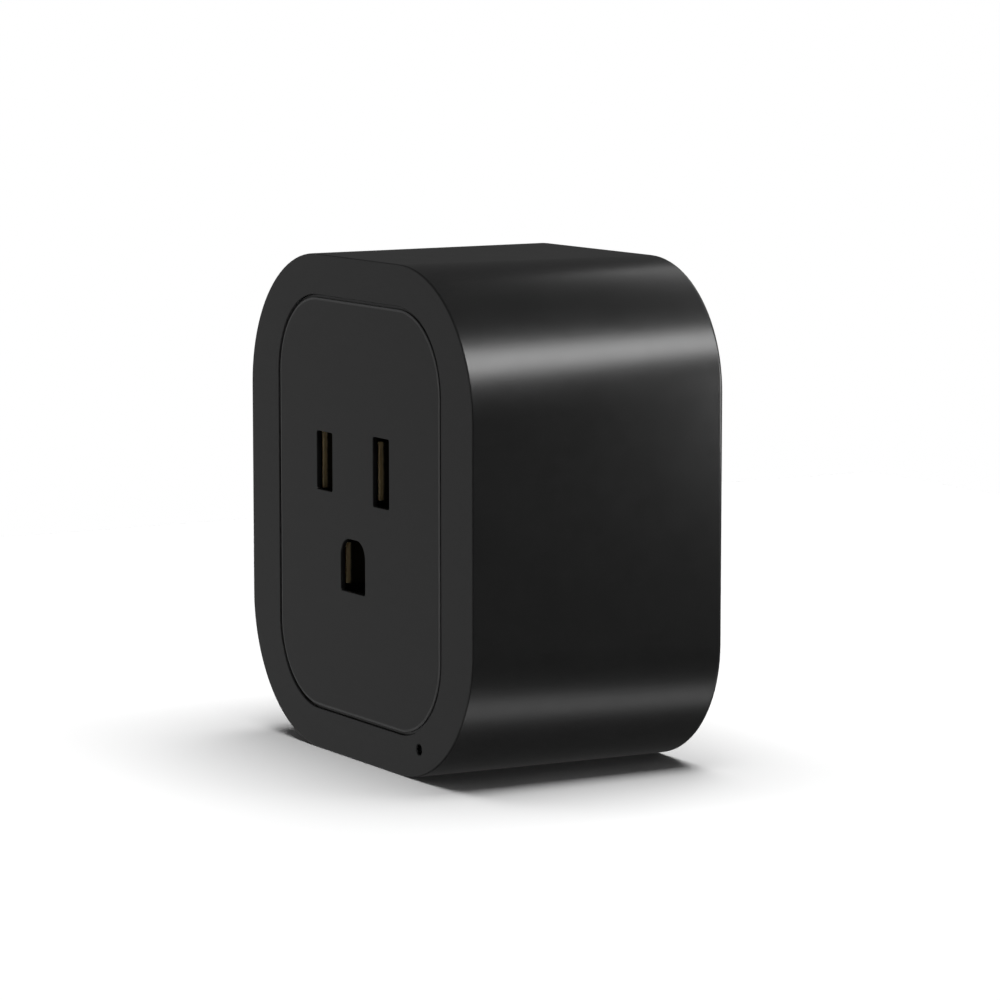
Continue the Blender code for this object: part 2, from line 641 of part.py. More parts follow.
def relay_magnet():
    """Bobbin, coil and the yoke with its core."""
    rear, front = BOBBIN_Y
    inner_rear, inner_front = rear - FLANGE_THICKNESS, front + FLANGE_THICKNESS
    spool = [(FLANGE_RADIUS, rear), (FLANGE_RADIUS, inner_rear), (HUB_RADIUS, inner_rear),
             (HUB_RADIUS, inner_front), (FLANGE_RADIUS, inner_front), (FLANGE_RADIUS, front),
             (BOBBIN_BORE, front), (BOBBIN_BORE, rear)]
    turned("relay_bobbin", spool, "Y", (COIL_X, 0, COIL_Z), "bobbin_cream", steps=20, closed=True)
    wire = [(FLANGE_RADIUS - GAP, inner_rear - GAP), (FLANGE_RADIUS - GAP, inner_front + GAP),
            (HUB_RADIUS + GAP, inner_front + GAP), (HUB_RADIUS + GAP, inner_rear - GAP)]
    turned("relay_coil", wire, "Y", (COIL_X, 0, COIL_Z), "copper", steps=20, closed=True)
    leg = (1.6, 2.6)
    half = 3.2
    yoke = box("relay_yoke", (COIL_X - 1.6, leg[1]), (rear + GAP, rear + GAP + 1),
               (COIL_Z - half, COIL_Z + half), "steel")
    join(yoke,
         box("yoke_leg", leg, (front - 1, rear + 1), (COIL_Z - half + 0.1, COIL_Z + half - 0.1)),
         rod("relay_core", "Y", (COIL_X, 0, COIL_Z), (front - 0.6, rear + 0.9), BOBBIN_BORE - GAP,
             segments=16))


def relay_switch():
    """Armature with the moving contact's arm, and the fixed contact."""
    z = (COIL_Z - 3.0, COIL_Z + 3.0)
    armature = box("relay_armature", x=(-5.6, 3.0), y=(-11.3, -10.7), z=z, look="steel")
    arm_x = 4.6
    arm_y = -11.0
    arm = strip("relay_contact_arm", [(3.5, arm_y, COIL_Z), (arm_x, arm_y, COIL_Z), (arm_x, -3.4, COIL_Z)],
                (0, 0, 1), CONTACT_WIDTH, 0.3, "copper")
    join(arm, rod("moving_rivet", "X", (0, RIVET_Y, COIL_Z), (arm_x, arm_x + 0.5), RIVET_RADIUS,
                  segments=16))
    fixed_x = 6.4
    fixed = strip("relay_fixed_contact", [(fixed_x, -6.0, COIL_Z), (fixed_x, -0.2, COIL_Z)], (0, 0, 1),
                  CONTACT_WIDTH, LEAF, "copper")
    join(fixed, rod("fixed_rivet", "X", (0, RIVET_Y, COIL_Z), (fixed_x - 0.65, fixed_x), RIVET_RADIUS,
                    segments=16))
    hang("armature_axis", ARMATURE_AXIS, [armature, arm])


def can_profile(radius, top, foot):
    """Profile of a capacitor's can, with the groove that holds its seal."""
    chamfer, groove, depth = 0.4, 1.9, 0.25
    return [(0, foot), (radius, foot), (radius, top + groove + chamfer), (radius - depth, top + groove),
            (radius, top + groove - chamfer), (radius, top + chamfer), (radius - chamfer, top), (0, top)]


def power_supply():
    """Capacitors, transformer, varistor, fuse resistor and rectifier."""
    turned("electrolytic_capacitor", can_profile(4.0, -10.5, 1.5), "Y", (-8.5, 0, 9.4), "sleeve_black")
    box("filter_capacitor", x=(-3.6, 1.8), y=(-8.5, ON_BOARD), z=(4.0, 15.4), look="cap_yellow")
    core = box("transformer_core", x=(4.6, 9.4), y=(-7.8, ON_BOARD), z=(4.6, 15.4), look="core_grey")
    cut(core, box("core_window", x=(1, 13), y=(-6.2, 0.2), z=(6.4, 13.6)))
    winding = box("transformer_winding", x=(2.6, 11.4), y=(-5.9, -0.1), z=(6.7, 13.3), look="cap_yellow")
    cut(winding, box("winding_gap", x=(4.3, 9.7), y=(-4.4, -1.6), z=(5.0, 15.0)))
    rod("varistor", "X", centre=(0, -2.6, 10.6), span=(-16.4, -13.4), radius=3.8, look="disc_blue")
    rod("fuse_resistor", "Y", centre=(14.2, 0, 12.2), span=(-6.5, ON_BOARD), radius=1.5,
        look="resistor_green", segments=16)
    box("rectifier", x=(13.0, 16.2), y=(BEHIND_BOARD, BEHIND_BOARD + 2.2), z=(8, 13), look="chip_black")


def control_parts():
    """Control chip and the status light's source."""
    box("control_chip", x=(-4.0, 4.0), y=(BEHIND_BOARD, BEHIND_BOARD + 1.5), z=(45.5, 51.5),
        look="chip_black")
    box("status_led", x=(LIGHT_X - 1.1, LIGHT_X + 0.5), y=(0.85, ON_BOARD), z=(LIGHT_Z + 2.1, LIGHT_Z + 3.3),
        look="lens_white")


def wifi_module():
    """Radio board standing on edge beside the outlet block, with its shield."""
    box("wifi_board", x=(17.6, 18.6), y=(-11.0, ON_BOARD), z=(20.0, 40.0), look="board_green")
    sheet = 0.3
    x, y, z = (18.9, 21.3), (-9.6, -1.6), (22.0, 33.0)
    shield = box("wifi_shield", x, y, z, "nickel")
    cut(shield, box("shield_room", (x[0] - 1, x[1] - sheet), (y[0] + sheet, y[1] - sheet),
                    (z[0] + sheet, z[1] - sheet)))


def main():
    """Clear the scene and build the plug."""
    for old in list(bpy.data.objects):
        bpy.data.objects.remove(old)
    front_shell()
    socket_panel()
    rear_cover()
    cover_screws()
    light_pipe()
    socket_block()
    contacts()
    busbars()
    blades()
    ground_prong()
    wipers()
    power_button()
    main_board()
    relay_shell()
    relay_magnet()
    relay_switch()
    power_supply()
    control_parts()
    wifi_module()


main()
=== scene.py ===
"""Looks of the smart plug: finer shells, metal parts, finishes and a small studio.

Every length is in metres. X runs across the face, the face looks towards -Y,
and Z is up from the bottom flat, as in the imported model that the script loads.
"""

import json
import math

import bmesh
import bpy
from bpy.props import FloatProperty, FloatVectorProperty, PointerProperty
from mathutils import Matrix, Vector

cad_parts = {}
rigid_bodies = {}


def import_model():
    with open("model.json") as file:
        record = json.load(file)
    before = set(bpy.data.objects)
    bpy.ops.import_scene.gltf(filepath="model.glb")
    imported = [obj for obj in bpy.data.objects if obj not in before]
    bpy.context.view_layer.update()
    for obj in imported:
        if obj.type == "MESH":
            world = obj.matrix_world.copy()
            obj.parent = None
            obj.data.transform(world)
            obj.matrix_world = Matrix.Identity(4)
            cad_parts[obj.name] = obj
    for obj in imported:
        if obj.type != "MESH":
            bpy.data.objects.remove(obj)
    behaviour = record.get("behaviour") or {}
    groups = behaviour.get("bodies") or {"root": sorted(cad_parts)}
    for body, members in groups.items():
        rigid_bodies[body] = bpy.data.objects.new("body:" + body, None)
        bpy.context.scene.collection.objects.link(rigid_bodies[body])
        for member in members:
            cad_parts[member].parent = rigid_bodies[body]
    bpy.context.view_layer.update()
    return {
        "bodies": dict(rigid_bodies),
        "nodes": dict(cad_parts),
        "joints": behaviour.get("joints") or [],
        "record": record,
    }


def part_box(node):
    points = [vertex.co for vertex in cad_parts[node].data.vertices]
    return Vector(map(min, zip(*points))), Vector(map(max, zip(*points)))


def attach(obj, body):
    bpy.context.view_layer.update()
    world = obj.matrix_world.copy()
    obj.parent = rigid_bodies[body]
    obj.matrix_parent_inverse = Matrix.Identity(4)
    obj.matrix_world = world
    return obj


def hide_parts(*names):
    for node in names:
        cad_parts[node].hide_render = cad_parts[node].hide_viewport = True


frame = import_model()

bl_info = {
    "name": "Smart Plug Builder",
    "version": (1, 0, 0),
    "blender": (4, 5, 0),
    "location": "3D View > Sidebar > Smart Plug",
    "description": "Builds the shells, prongs, finishes and studio of a smart plug",
    "category": "Object",
}

MM = 0.001

# Case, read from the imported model
CASE_LOW, CASE_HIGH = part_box("front_shell")
PANEL_LOW, PANEL_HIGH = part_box("socket_panel")
COVER_LOW, COVER_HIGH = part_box("rear_cover")
WIDTH = CASE_HIGH.x - CASE_LOW.x
HEIGHT = CASE_HIGH.z - CASE_LOW.z
FRONT = CASE_LOW.y
REAR = CASE_HIGH.y
MID_Z = (CASE_LOW.z + CASE_HIGH.z) / 2
CORNER = 17 * MM
REAR_CORNER = 15.2 * MM
WALL = 2 * MM
COVER_GAP = (WIDTH - 2 * WALL - (COVER_HIGH.x - COVER_LOW.x)) / 2
BOSS_RADIUS = 3.2 * MM
SCREW_BORE = 1.35 * MM
SCREW_SEAT = 2.5 * MM

# Panel, with the flange that holds it behind the face
FLANGE = 1.5 * MM
FLANGE_FRONT = PANEL_HIGH.y - 1.2 * MM
PANEL_WIDTH = PANEL_HIGH.x - PANEL_LOW.x - 2 * FLANGE
PANEL_HEIGHT = PANEL_HIGH.z - PANEL_LOW.z - 2 * FLANGE + 0.8 * MM
PANEL_CORNER = 9.55 * MM
PANEL_PLATE = 1.5 * MM
PANEL_RIM = 2 * MM
PANEL_ROLL = 0.22  # depth of the rolled edge as a share of its width

# Groove round the panel: the width, the depth and the crack left at its floor
PANEL_GAP = 0.4 * MM
GROOVE_DEPTH = 0.3 * MM
GROOVE_CRACK = 0.03 * MM
RIM_BAND = 7 * MM
# Painted highlight on the panel's rolled rim
RIM_HIGHLIGHT_COLOUR = (0.055, 0.055, 0.055)
# Painted light on the walls of the groove round the panel
GROOVE_LIGHT_COLOUR = (0.03, 0.03, 0.03)
# Painted shade on the walls of the apertures
APERTURE_SHADE_COLOUR = (0.0006, 0.0006, 0.0006)

# Outlet pattern
OUTLET_X = (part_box("socket_block")[0].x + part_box("socket_block")[1].x) / 2
SLOT_Z = (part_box("hot_contact")[0].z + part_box("hot_contact")[1].z) / 2
GROUND_Z = (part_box("ground_contact")[0].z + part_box("ground_contact")[1].z) / 2
SLOT_OFFSET = 7.0 * MM
SLOT_WIDTH = 3.9 * MM
SLOT_HEIGHTS = {-1: 7.1 * MM, 1: 8.3 * MM}
SLOT_LIP = 0.6 * MM
SLOT_CORNER = 0.25 * MM
GROUND_SIZE = (6.0 * MM, 6.4 * MM)
GROUND_TOP_CORNER = GROUND_SIZE[0] * 0.35
GROUND_LOW_CORNER = 0.3 * MM
CLIP_FRONT = FRONT + SLOT_LIP + 0.25 * MM
BLADE_PITCH = 12.7 * MM

# Screws, light, button, prongs
LIGHT_RADIUS = 0.35 * MM
LIGHT_HOLE = (1.2 * MM, 1.2 * MM, 0.6 * MM)
BUTTON_SIZE = (5 * MM, 14 * MM, 2.5 * MM)
BUTTON_HOLE = (5.6 * MM, 14.6 * MM, 2.8 * MM)
SCREW_NODES = ("cover_screw_1", "cover_screw_2", "cover_screw_3", "cover_screw_4")
JOINTS = {joint["name"]: joint for joint in frame["joints"]}
BLADE_AXIS = Vector(JOINTS["blades_fold"]["pos_m"])
GROUND_AXIS = Vector(JOINTS["ground_fold"]["pos_m"])
BLADE_BORE = 1.15 * MM
PIN_RADIUS = 0.85 * MM
LATCH_HOLE = 1.6 * MM
LATCH_DROP = 14.6 * MM

PLANES = {
    "X": lambda u, v, depth: Vector((depth, u, v)),
    "Y": lambda u, v, depth: Vector((u, depth, v)),
    "Z": lambda u, v, depth: Vector((u, v, depth)),
}
TURNS = {
    "X": Matrix.Rotation(math.pi / 2, 4, "Y"),
    "Y": Matrix.Rotation(-math.pi / 2, 4, "X"),
    "Z": Matrix.Identity(4),
}


# ------------------------------------------------------------ finish maths

class Wire:
    """A shader socket on which arithmetic is written as Python expressions."""

    def __init__(self, shader, socket):
        self.shader = shader
        self.socket = socket

    def maths(self, operation, *terms):
        """Add one Math node."""
        return self.shader.add("ShaderNodeMath", {"operation": operation}, dict(enumerate(terms)))

    def __add__(self, other):
        return self.maths("ADD", self, other)

    def __sub__(self, other):
        return self.maths("SUBTRACT", self, other)

    def __rsub__(self, other):
        return self.maths("SUBTRACT", other, self)

    def __mul__(self, other):
        return self.maths("MULTIPLY", self, other)

    def size(self):
        """The value without its sign."""
        return self.maths("ABSOLUTE", self)

    def between(self, low, high):
        """0 below low, 1 above high and a smooth rise between."""
        return self.shader.add("ShaderNodeMapRange", {"interpolation_type": "SMOOTHSTEP"},
                               {"Value": self, "From Min": low, "From Max": high})


class Finish:
    """One procedural material on a Principled shader."""

    def __init__(self, name, **fixed):
        self.material = bpy.data.materials.new(name)
        self.material.use_nodes = True
        self.tree = self.material.node_tree
        self.shader = self.tree.nodes["Principled BSDF"]
        self.feed(**fixed)

    def add(self, kind, settings=None, inputs=None, output=0):
        """Add a node: its settings first, then the values or links of its sockets."""
        node = self.tree.nodes.new(kind)
        for key, value in (settings or {}).items():
            setattr(node, key, value)
        for key, value in (inputs or {}).items():
            self.plug(node.inputs[key], value)
        return Wire(self, node.outputs[output])

    def plug(self, socket, value):
        """Link a wire to a socket, or set its value."""
        if isinstance(value, Wire):
            self.tree.links.new(value.socket, socket)
        elif isinstance(value, tuple) and len(value) == 3 and socket.type == "RGBA":
            socket.default_value = (*value, 1.0)
        else:
            socket.default_value = value

    def feed(self, **sockets):
        """Feed the Principled shader; underscores stand for spaces."""
        for key, value in sockets.items():
            self.plug(self.shader.inputs[key.replace("_", " ")], value)
        return self

    def place(self):
        """The point on the piece, in metres."""
        return self.add("ShaderNodeTexCoord", output="Object")

    def axis(self, letter):
        """One coordinate of the point on the piece."""
        return self.add("ShaderNodeSeparateXYZ", inputs={0: self.place()}, output=letter)

    def stretched(self, x, y, z):
        """The point, scaled along each axis."""
        return self.add("ShaderNodeVectorMath", {"operation": "MULTIPLY"}, {0: self.place(), 1: (x, y, z)})

    def noise(self, grain, detail=2.0, at=None):
        """Cloud noise whose features are about one grain across."""
        return self.add("ShaderNodeTexNoise", {"noise_dimensions": "3D"},
                        {"Vector": at or self.place(), "Scale": 1.0 / grain, "Detail": detail})

    def cells(self, grain):
        """Distance to the nearest of scattered points."""
        return self.add("ShaderNodeTexVoronoi", {"feature": "F1"},
                        {"Vector": self.place(), "Scale": 1.0 / grain})

    def blend(self, mask, first, second):
        """A colour between two, by a mask."""
        node = self.tree.nodes.new("ShaderNodeMix")
        node.data_type = "RGBA"
        for index, value in ((0, mask), (6, first), (7, second)):
            self.plug(node.inputs[index], value)
        return Wire(self, node.outputs[2])

    def relief(self, height, depth):
        """Bump from a height that runs from 0 to 1, over a depth in metres."""
        return self.feed(Normal=self.add("ShaderNodeBump", None,
                                         {"Strength": 1.0, "Distance": depth, "Height": height}))


def shade(colour, factor):
    """A colour made lighter or darker."""
    return tuple(channel * factor for channel in colour)


def outside_panel(finish):
    """Distance outwards from the front panel's outline, negative on the panel."""
    across = finish.axis("X").size() - PANEL_WIDTH / 2
    return across.maths("MAXIMUM", across, (finish.axis("Z") - MID_Z).size() - PANEL_HEIGHT / 2)


def painted_panel_light_and_shade(finish, base, rough):
    """Front panel with a painted highlight on its rolled rim, painted light on the groove walls and painted
    shade on the aperture walls.
    """
    depth = finish.axis("Y") - FRONT
    rim = outside_panel(finish).between(-RIM_BAND, 0.1 * MM - RIM_BAND)
    light = depth.between(0.001 * MM, 0.015 * MM)
    near = depth.between(SLOT_LIP + 1.5 * MM, SLOT_LIP + MM)
    deep = depth.between(0.10 * MM, 0.16 * MM) * near
    inner = deep * (rim * -1.0 + 1.0)
    # Painted highlight on the rolled rim and painted light on the groove walls
    rim_and_groove_light = finish.blend(deep, finish.blend(light * rim * near, base, RIM_HIGHLIGHT_COLOUR), GROOVE_LIGHT_COLOUR)
    # Painted shade on the aperture walls
    return finish.blend(inner, rim_and_groove_light, APERTURE_SHADE_COLOUR), rough + deep * 0.12 + inner * 0.38


def painted_groove_light(finish, base, rough):
    """Case with painted light on its wall in the groove round the front panel."""
    wall = outside_panel(finish).between(PANEL_GAP + 0.06 * MM, PANEL_GAP + 0.03 * MM)
    depth = finish.axis("Y") - FRONT
    near = depth.between(0.05 * MM, 0.08 * MM) * depth.between(WALL, WALL - 0.5 * MM)
    # Painted light on the case's wall in the groove
    return finish.blend(wall * near, base, GROOVE_LIGHT_COLOUR), rough


def moulded(name, colour, roughness, grain=0.12 * MM, depth=0.004 * MM, specular=0.5, painted_light=None):
    """Moulded plastic: fine spark texture, faint flow marks and an uneven sheen."""
    finish = Finish(name, Specular_IOR_Level=specular)
    spark = finish.noise(grain, 3.0)
    cloud = finish.noise(9 * MM, 2.0)
    wipe = finish.noise(2.2 * MM, 4.0, at=finish.stretched(0.35, 1.0, 1.6))
    tone = (cloud * 0.6 + spark * 0.4).between(0.25, 0.75)
    base = finish.blend(tone, shade(colour, 0.94), shade(colour, 1.06))
    rough = (wipe - 0.5) * 0.05 + (cloud - 0.5) * 0.04 + roughness
    # Painted light and shade, for the pieces that take it
    if painted_light:
        base, rough = painted_light(finish, base, rough)
    finish.feed(Base_Color=base, Roughness=rough)
    return finish.relief(spark, depth).material


def plated(name, colour, roughness, brushed="Z"):
    """Plated or bare metal: brushed lines, small scratches and a patchy bloom."""
    finish = Finish(name, Metallic=1.0)
    along = [0.04 if axis == brushed else 1.0 for axis in "XYZ"]
    lines = finish.noise(0.09 * MM, 3.0, at=finish.stretched(*along))
    bloom = finish.noise(1.6 * MM, 4.0)
    dull = bloom.between(0.35, 0.75)
    finish.feed(
        Base_Color=finish.blend(dull, colour, shade(colour, 0.72)),
        Roughness=lines * 0.12 + dull * 0.10 + (roughness - 0.10))
    return finish.relief(lines, 0.002 * MM).material


def outlet_brass(name, colour):
    """Stamped brass with painted shade that darkens it away from the mouth of its slot."""
    finish = Finish(name, Metallic=0.9)
    lines = finish.noise(0.08 * MM, 3.0, at=finish.stretched(1.0, 1.0, 0.05))
    bloom = finish.noise(0.9 * MM, 4.0)
    depth = finish.axis("Y").between(FRONT + 1.15 * MM, FRONT + 1.6 * MM)
    # Painted shade: the brass darkens deeper in its slot, with a patchy edge
    slot_shade = (depth + bloom * 0.35 - 0.12).between(0.0, 1.0)
    finish.feed(
        Base_Color=finish.blend(slot_shade, colour, shade(colour, 0.02)),
        Roughness=lines * 0.14 + slot_shade * 0.2 + 0.36)
    return finish.relief(lines, 0.003 * MM).material


def smoked_clear(name, colour):
    """Dark clear rod, moulded with a little haze."""
    finish = Finish(name, Coat_Roughness=0.04)
    haze = finish.noise(0.5 * MM, 3.0)
    finish.feed(Base_Color=finish.blend(haze, colour, shade(colour, 2.2)), Roughness=haze * 0.12 + 0.08,
                Coat_Weight=0.6)
    return finish.relief(haze, 0.002 * MM).material


def circuit_board(name, colour):
    """Solder resist over copper tracks, with plated vias."""
    finish = Finish(name)
    flat = finish.add("ShaderNodeCombineXYZ", inputs={"X": finish.axis("X"), "Y": finish.axis("Z")})
    tracks = finish.add("ShaderNodeTexBrick", {"offset": 0.37},
                        {"Vector": flat, "Scale": 1.0 / (6 * MM), "Mortar Size": 0.035,
                         "Mortar Smooth": 0.1, "Brick Width": 0.7, "Row Height": 0.22}, output="Fac")
    via = finish.cells(3.1 * MM).between(0.10, 0.13)
    weave = finish.noise(0.35 * MM, 2.0)
    resist = finish.blend(tracks, shade(colour, 1.0), shade(colour, 1.9))
    finish.feed(
        Base_Color=finish.blend(via, (0.62, 0.60, 0.55), resist),
        Metallic=1 - via,
        Roughness=weave * 0.12 + 0.3)
    return finish.relief(tracks * 0.6 + weave * 0.2, 0.03 * MM).material


def dipped(name, colour, gloss=0.3):
    """Dipped or lacquered coating with a thick, slightly wavy skin."""
    finish = Finish(name, Coat_Roughness=0.12)
    wave = finish.noise(1.4 * MM, 2.0)
    dust = finish.cells(0.5 * MM).between(0.05, 0.12)
    finish.feed(
        Base_Color=finish.blend(dust, shade(colour, 1.25), colour),
        Roughness=wave * 0.15 + gloss, Coat_Weight=0.4)
    return finish.relief(wave, 0.05 * MM).material


def wound_copper(name, colour):
    """Copper alloy: drawn lines round the piece and a warm bloom."""
    finish = Finish(name, Metallic=1.0)
    turns = finish.add("ShaderNodeTexWave", {"wave_type": "BANDS", "bands_direction": "Y"},
                       {"Vector": finish.place(), "Scale": 1.0 / (0.9 * MM), "Distortion": 0.4})
    bloom = finish.noise(1.1 * MM, 3.0)
    finish.feed(
        Base_Color=finish.blend(bloom.between(0.3, 0.8), colour, shade(colour, 0.6)),
        Roughness=bloom * 0.2 + 0.25)
    return finish.relief(turns, 0.02 * MM).material


def ferrite(name, colour):
    """Sintered core: dull, pitted and a little sparkling."""
    finish = Finish(name)
    pits = finish.noise(0.25 * MM, 5.0)
    finish.feed(
        Base_Color=finish.blend(pits, shade(colour, 0.7), shade(colour, 1.4)),
        Roughness=pits * 0.3 + 0.5)
    return finish.relief(pits, 0.03 * MM).material


# ---------------------------------------------------------------- geometry

def arc(centre, radius, start, end, steps):
    """Points along an arc, with its angles in degrees."""
    angles = [math.radians(start + (end - start) * i / steps) for i in range(steps + 1)]
    return [(centre[0] + radius * math.cos(a), centre[1] + radius * math.sin(a)) for a in angles]


def rounded(width, height, radius, steps=24, bottom=None):
    """Outline of a rounded rectangle about (0, 0); bottom is a second radius."""
    low = radius if bottom is None else bottom
    across, up = width / 2, height / 2
    return (arc((across - radius, up - radius), radius, 0, 90, steps)
            + arc((radius - across, up - radius), radius, 90, 180, steps)
            + arc((low - across, low - up), low, 180, 270, steps)
            + arc((across - low, low - up), low, 270, 360, steps))


def inset(size, amount, steps=24):
    """A (width, height, radius) outline moved inwards."""
    width, height, radius = size
    return rounded(width - 2 * amount, height - 2 * amount, max(radius - amount, 0.02 * MM), steps)


def roll(radius, steps=5):
    """Steps round a quarter turn, as (inset, depth) from the flat to the side."""
    angles = [math.radians(90 * i / steps) for i in range(steps + 1)]
    return [(radius * (1 - math.sin(a)), radius * (1 - math.cos(a))) for a in angles]


def placed(name, data):
    """Put new object data into the scene."""
    piece = bpy.data.objects.new(name, data)
    bpy.context.scene.collection.objects.link(piece)
    return piece


def meshed(name, bm):
    """Put a bmesh into the scene and free it."""
    mesh = bpy.data.meshes.new(name)
    bm.to_mesh(mesh)
    bm.free()
    return placed(name, mesh)


def settle(name, bm, tool=False):
    """Make a piece, or a tool body for a Boolean, from a bmesh."""
    bmesh.ops.remove_doubles(bm, verts=bm.verts[:], dist=1e-7)
    bmesh.ops.recalc_face_normals(bm, faces=bm.faces[:])
    if bm.calc_volume(signed=True) < 0:
        bmesh.ops.reverse_faces(bm, faces=bm.faces[:])
    piece = meshed(name, bm)
    piece.hide_render = tool
    return piece


def loft(name, rings, plane="Y", centre=(0.0, 0.0), closed=False, tool=False):
    """Skin rings of (outline, depth); a closed skin joins its ends, an open one is capped."""
    put = PLANES[plane]
    bm = bmesh.new()
    loops = [[bm.verts.new(put(u + centre[0], v + centre[1], depth)) for u, v in outline]
             for outline, depth in rings]
    pairs = list(zip(loops, loops[1:]))
    if closed:
        pairs.append((loops[-1], loops[0]))
    for first, second in pairs:
        for i in range(len(first)):
            bm.faces.new((first[i - 1], first[i], second[i], second[i - 1]))
    if not closed:
        bm.faces.new(loops[0])
        bm.faces.new(loops[-1])
    return settle(name, bm, tool)


def turned(name, profile, axis, centre, steps=48, tool=False):
    """Turn a profile of (radius, height) about an axis; it starts and ends on the axis."""
    bm = bmesh.new()
    line = [bm.verts.new((r, 0.0, h)) for r, h in profile]
    edges = [bm.edges.new(pair) for pair in zip(line, line[1:])]
    bmesh.ops.spin(bm, geom=line + edges, cent=(0, 0, 0), axis=(0, 0, 1), angle=math.tau, steps=steps,
                   use_merge=True)
    bm.transform(Matrix.Translation(centre) @ TURNS[axis])
    return settle(name, bm, tool)


def rod(name, axis, centre, span, radius, tool=False, steps=48):
    """A plain cylinder, as a closed turned profile."""
    profile = [(0, span[0]), (radius, span[0]), (radius, span[1]), (0, span[1])]
    return turned(name, profile, axis, centre, steps, tool)


def block(name, low, high, tool=False):
    """A box between two corners."""
    low, high = Vector(low), Vector(high)
    bm = bmesh.new()
    scale = Matrix.Diagonal((*(high - low), 1.0))
    bmesh.ops.create_cube(bm, size=1.0, matrix=Matrix.Translation((low + high) / 2) @ scale)
    return settle(name, bm, tool)


def combine(piece, operation, tools):
    """Apply one Boolean for each tool body, then remove the tool bodies."""
    for tool in tools:
        step = piece.modifiers.new(tool.name, "BOOLEAN")
        step.operation = operation
        step.solver = "EXACT"
        step.object = tool
    bake(piece)
    for tool in tools:
        bpy.data.objects.remove(tool)


def bake(piece):
    """Apply a piece's modifiers to its mesh."""
    depsgraph = bpy.context.evaluated_depsgraph_get()
    mesh = bpy.data.meshes.new_from_object(piece.evaluated_get(depsgraph))
    piece.modifiers.clear()
    old = piece.data
    piece.data = mesh
    bpy.data.meshes.remove(old)
    mesh.name = piece.name


def cut(piece, *tools):
    """Take tool bodies out of a piece."""
    combine(piece, "DIFFERENCE", tools)


def join(piece, *tools):
    """Add tool bodies to a piece."""
    combine(piece, "UNION", tools)


def soften(piece, width, angle=50, steps=2):
    """Round the sharp edges by a small width."""
    bevel = piece.modifiers.new("Soft edges", "BEVEL")
    bevel.width = width
    bevel.segments = steps
    bevel.limit_method = "ANGLE"
    bevel.angle_limit = math.radians(angle)
    bake(piece)
    return piece


def polish(piece, sharp=40):
    """Smooth shading that keeps flats flat and corners crisp."""
    piece.data.shade_smooth()
    piece.data.set_sharp_from_angle(angle=math.radians(sharp))
    weigh = piece.modifiers.new("Flat faces", "WEIGHTED_NORMAL")
    weigh.keep_sharp = True
    weigh.weight = 100
    bake(piece)
    return piece


def bend(points, radius, steps=5):
    """Round the corners of an open line with arcs of about one radius."""
    points = [Vector(point) for point in points]
    line = [points[0]]
    for before, corner, after in zip(points, points[1:], points[2:]):
        back, ahead = before - corner, after - corner
        reach = min(radius, back.length * 0.45, ahead.length * 0.45)
        start, end = corner + back.normalized() * reach, corner + ahead.normalized() * reach
        for i in range(steps + 1):
            t = i / steps
            line.append(start * (1 - t) ** 2 + corner * 2 * t * (1 - t) + end * t ** 2)
    line.append(points[-1])
    return line


def strip(name, points, across, width, thickness, radius=0.6 * MM, edge=0.06 * MM):
    """A folded metal strip with round bends and softened edges."""
    side = Vector(across)
    bm = bmesh.new()
    line = [bm.verts.new(point - side * width / 2) for point in bend(points, radius)]
    edges = [bm.edges.new(pair) for pair in zip(line, line[1:])]
    drawn = bmesh.ops.extrude_edge_only(bm, edges=edges)
    moved = [item for item in drawn["geom"] if isinstance(item, bmesh.types.BMVert)]
    bmesh.ops.translate(bm, verts=moved, vec=side * width)
    piece = meshed(name, bm)
    sheet = piece.modifiers.new("Sheet", "SOLIDIFY")
    sheet.thickness = thickness
    sheet.offset = 0.0
    sheet.use_even_offset = True
    bake(piece)
    return soften(piece, edge)


def finished(piece, body, node, slot):
    """Ride a piece on its body in place of a CAD node, in its finish."""
    piece.data.materials.clear()
    piece.data.materials.append(look(slot))
    polish(piece)
    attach(piece, body)
    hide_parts(node)
    return piece


def look(slot):
    """The finish of one material slot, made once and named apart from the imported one."""
    name = slot + "_finish"
    return bpy.data.materials.get(name) or FINISHES[slot](name, settings())


def settings():
    """The values that the sidebar shows."""
    return bpy.context.scene.smart_plug


# ------------------------------------------------------------- case pieces

def panel_size():
    """Width, height and corner radius of the front panel."""
    return (PANEL_WIDTH, PANEL_HEIGHT, PANEL_CORNER)


def middle(node):
    """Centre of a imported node."""
    low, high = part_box(node)
    return (low + high) / 2


def hole(name, axis, centre, span, radius, steps=48):
    """Tool body for a round hole or a boss."""
    return rod(name, axis, centre, span, radius, tool=True, steps=steps)


def pocket(name, x, y, z):
    """Tool body for a square space, from its span along each axis."""
    low, high = zip(x, y, z)
    return block(name, low, high, tool=True)


def around(centre, half):
    """A span about its middle."""
    return (centre - half, centre + half)


def flared_tool(outline_size, centre, plane, face, depth, flare):
    """Tool body that cuts a hole with a rounded mouth; depth runs inwards from the face."""
    rings = [(inset(outline_size, -flare), face - MM), (inset(outline_size, -flare), face)]
    rings += [(inset(outline_size, -i), face + d) for i, d in reversed(roll_out(flare))]
    rings.append((inset(outline_size, 0), face + depth))
    return loft("hole_tool", rings, plane, centre, tool=True)


def roll_out(radius, steps=4):
    """Like roll, for an edge that rounds into a hole, without its first step."""
    angles = [math.radians(90 * i / steps) for i in range(steps)]
    return [(radius * (1 - math.cos(a)), radius * (1 - math.sin(a))) for a in reversed(angles)]


def outer_size(depth):
    """Width, height and corner radius of the case at a depth behind its face."""
    return (WIDTH, HEIGHT, CORNER + (REAR_CORNER - CORNER) * depth / (REAR - FRONT))


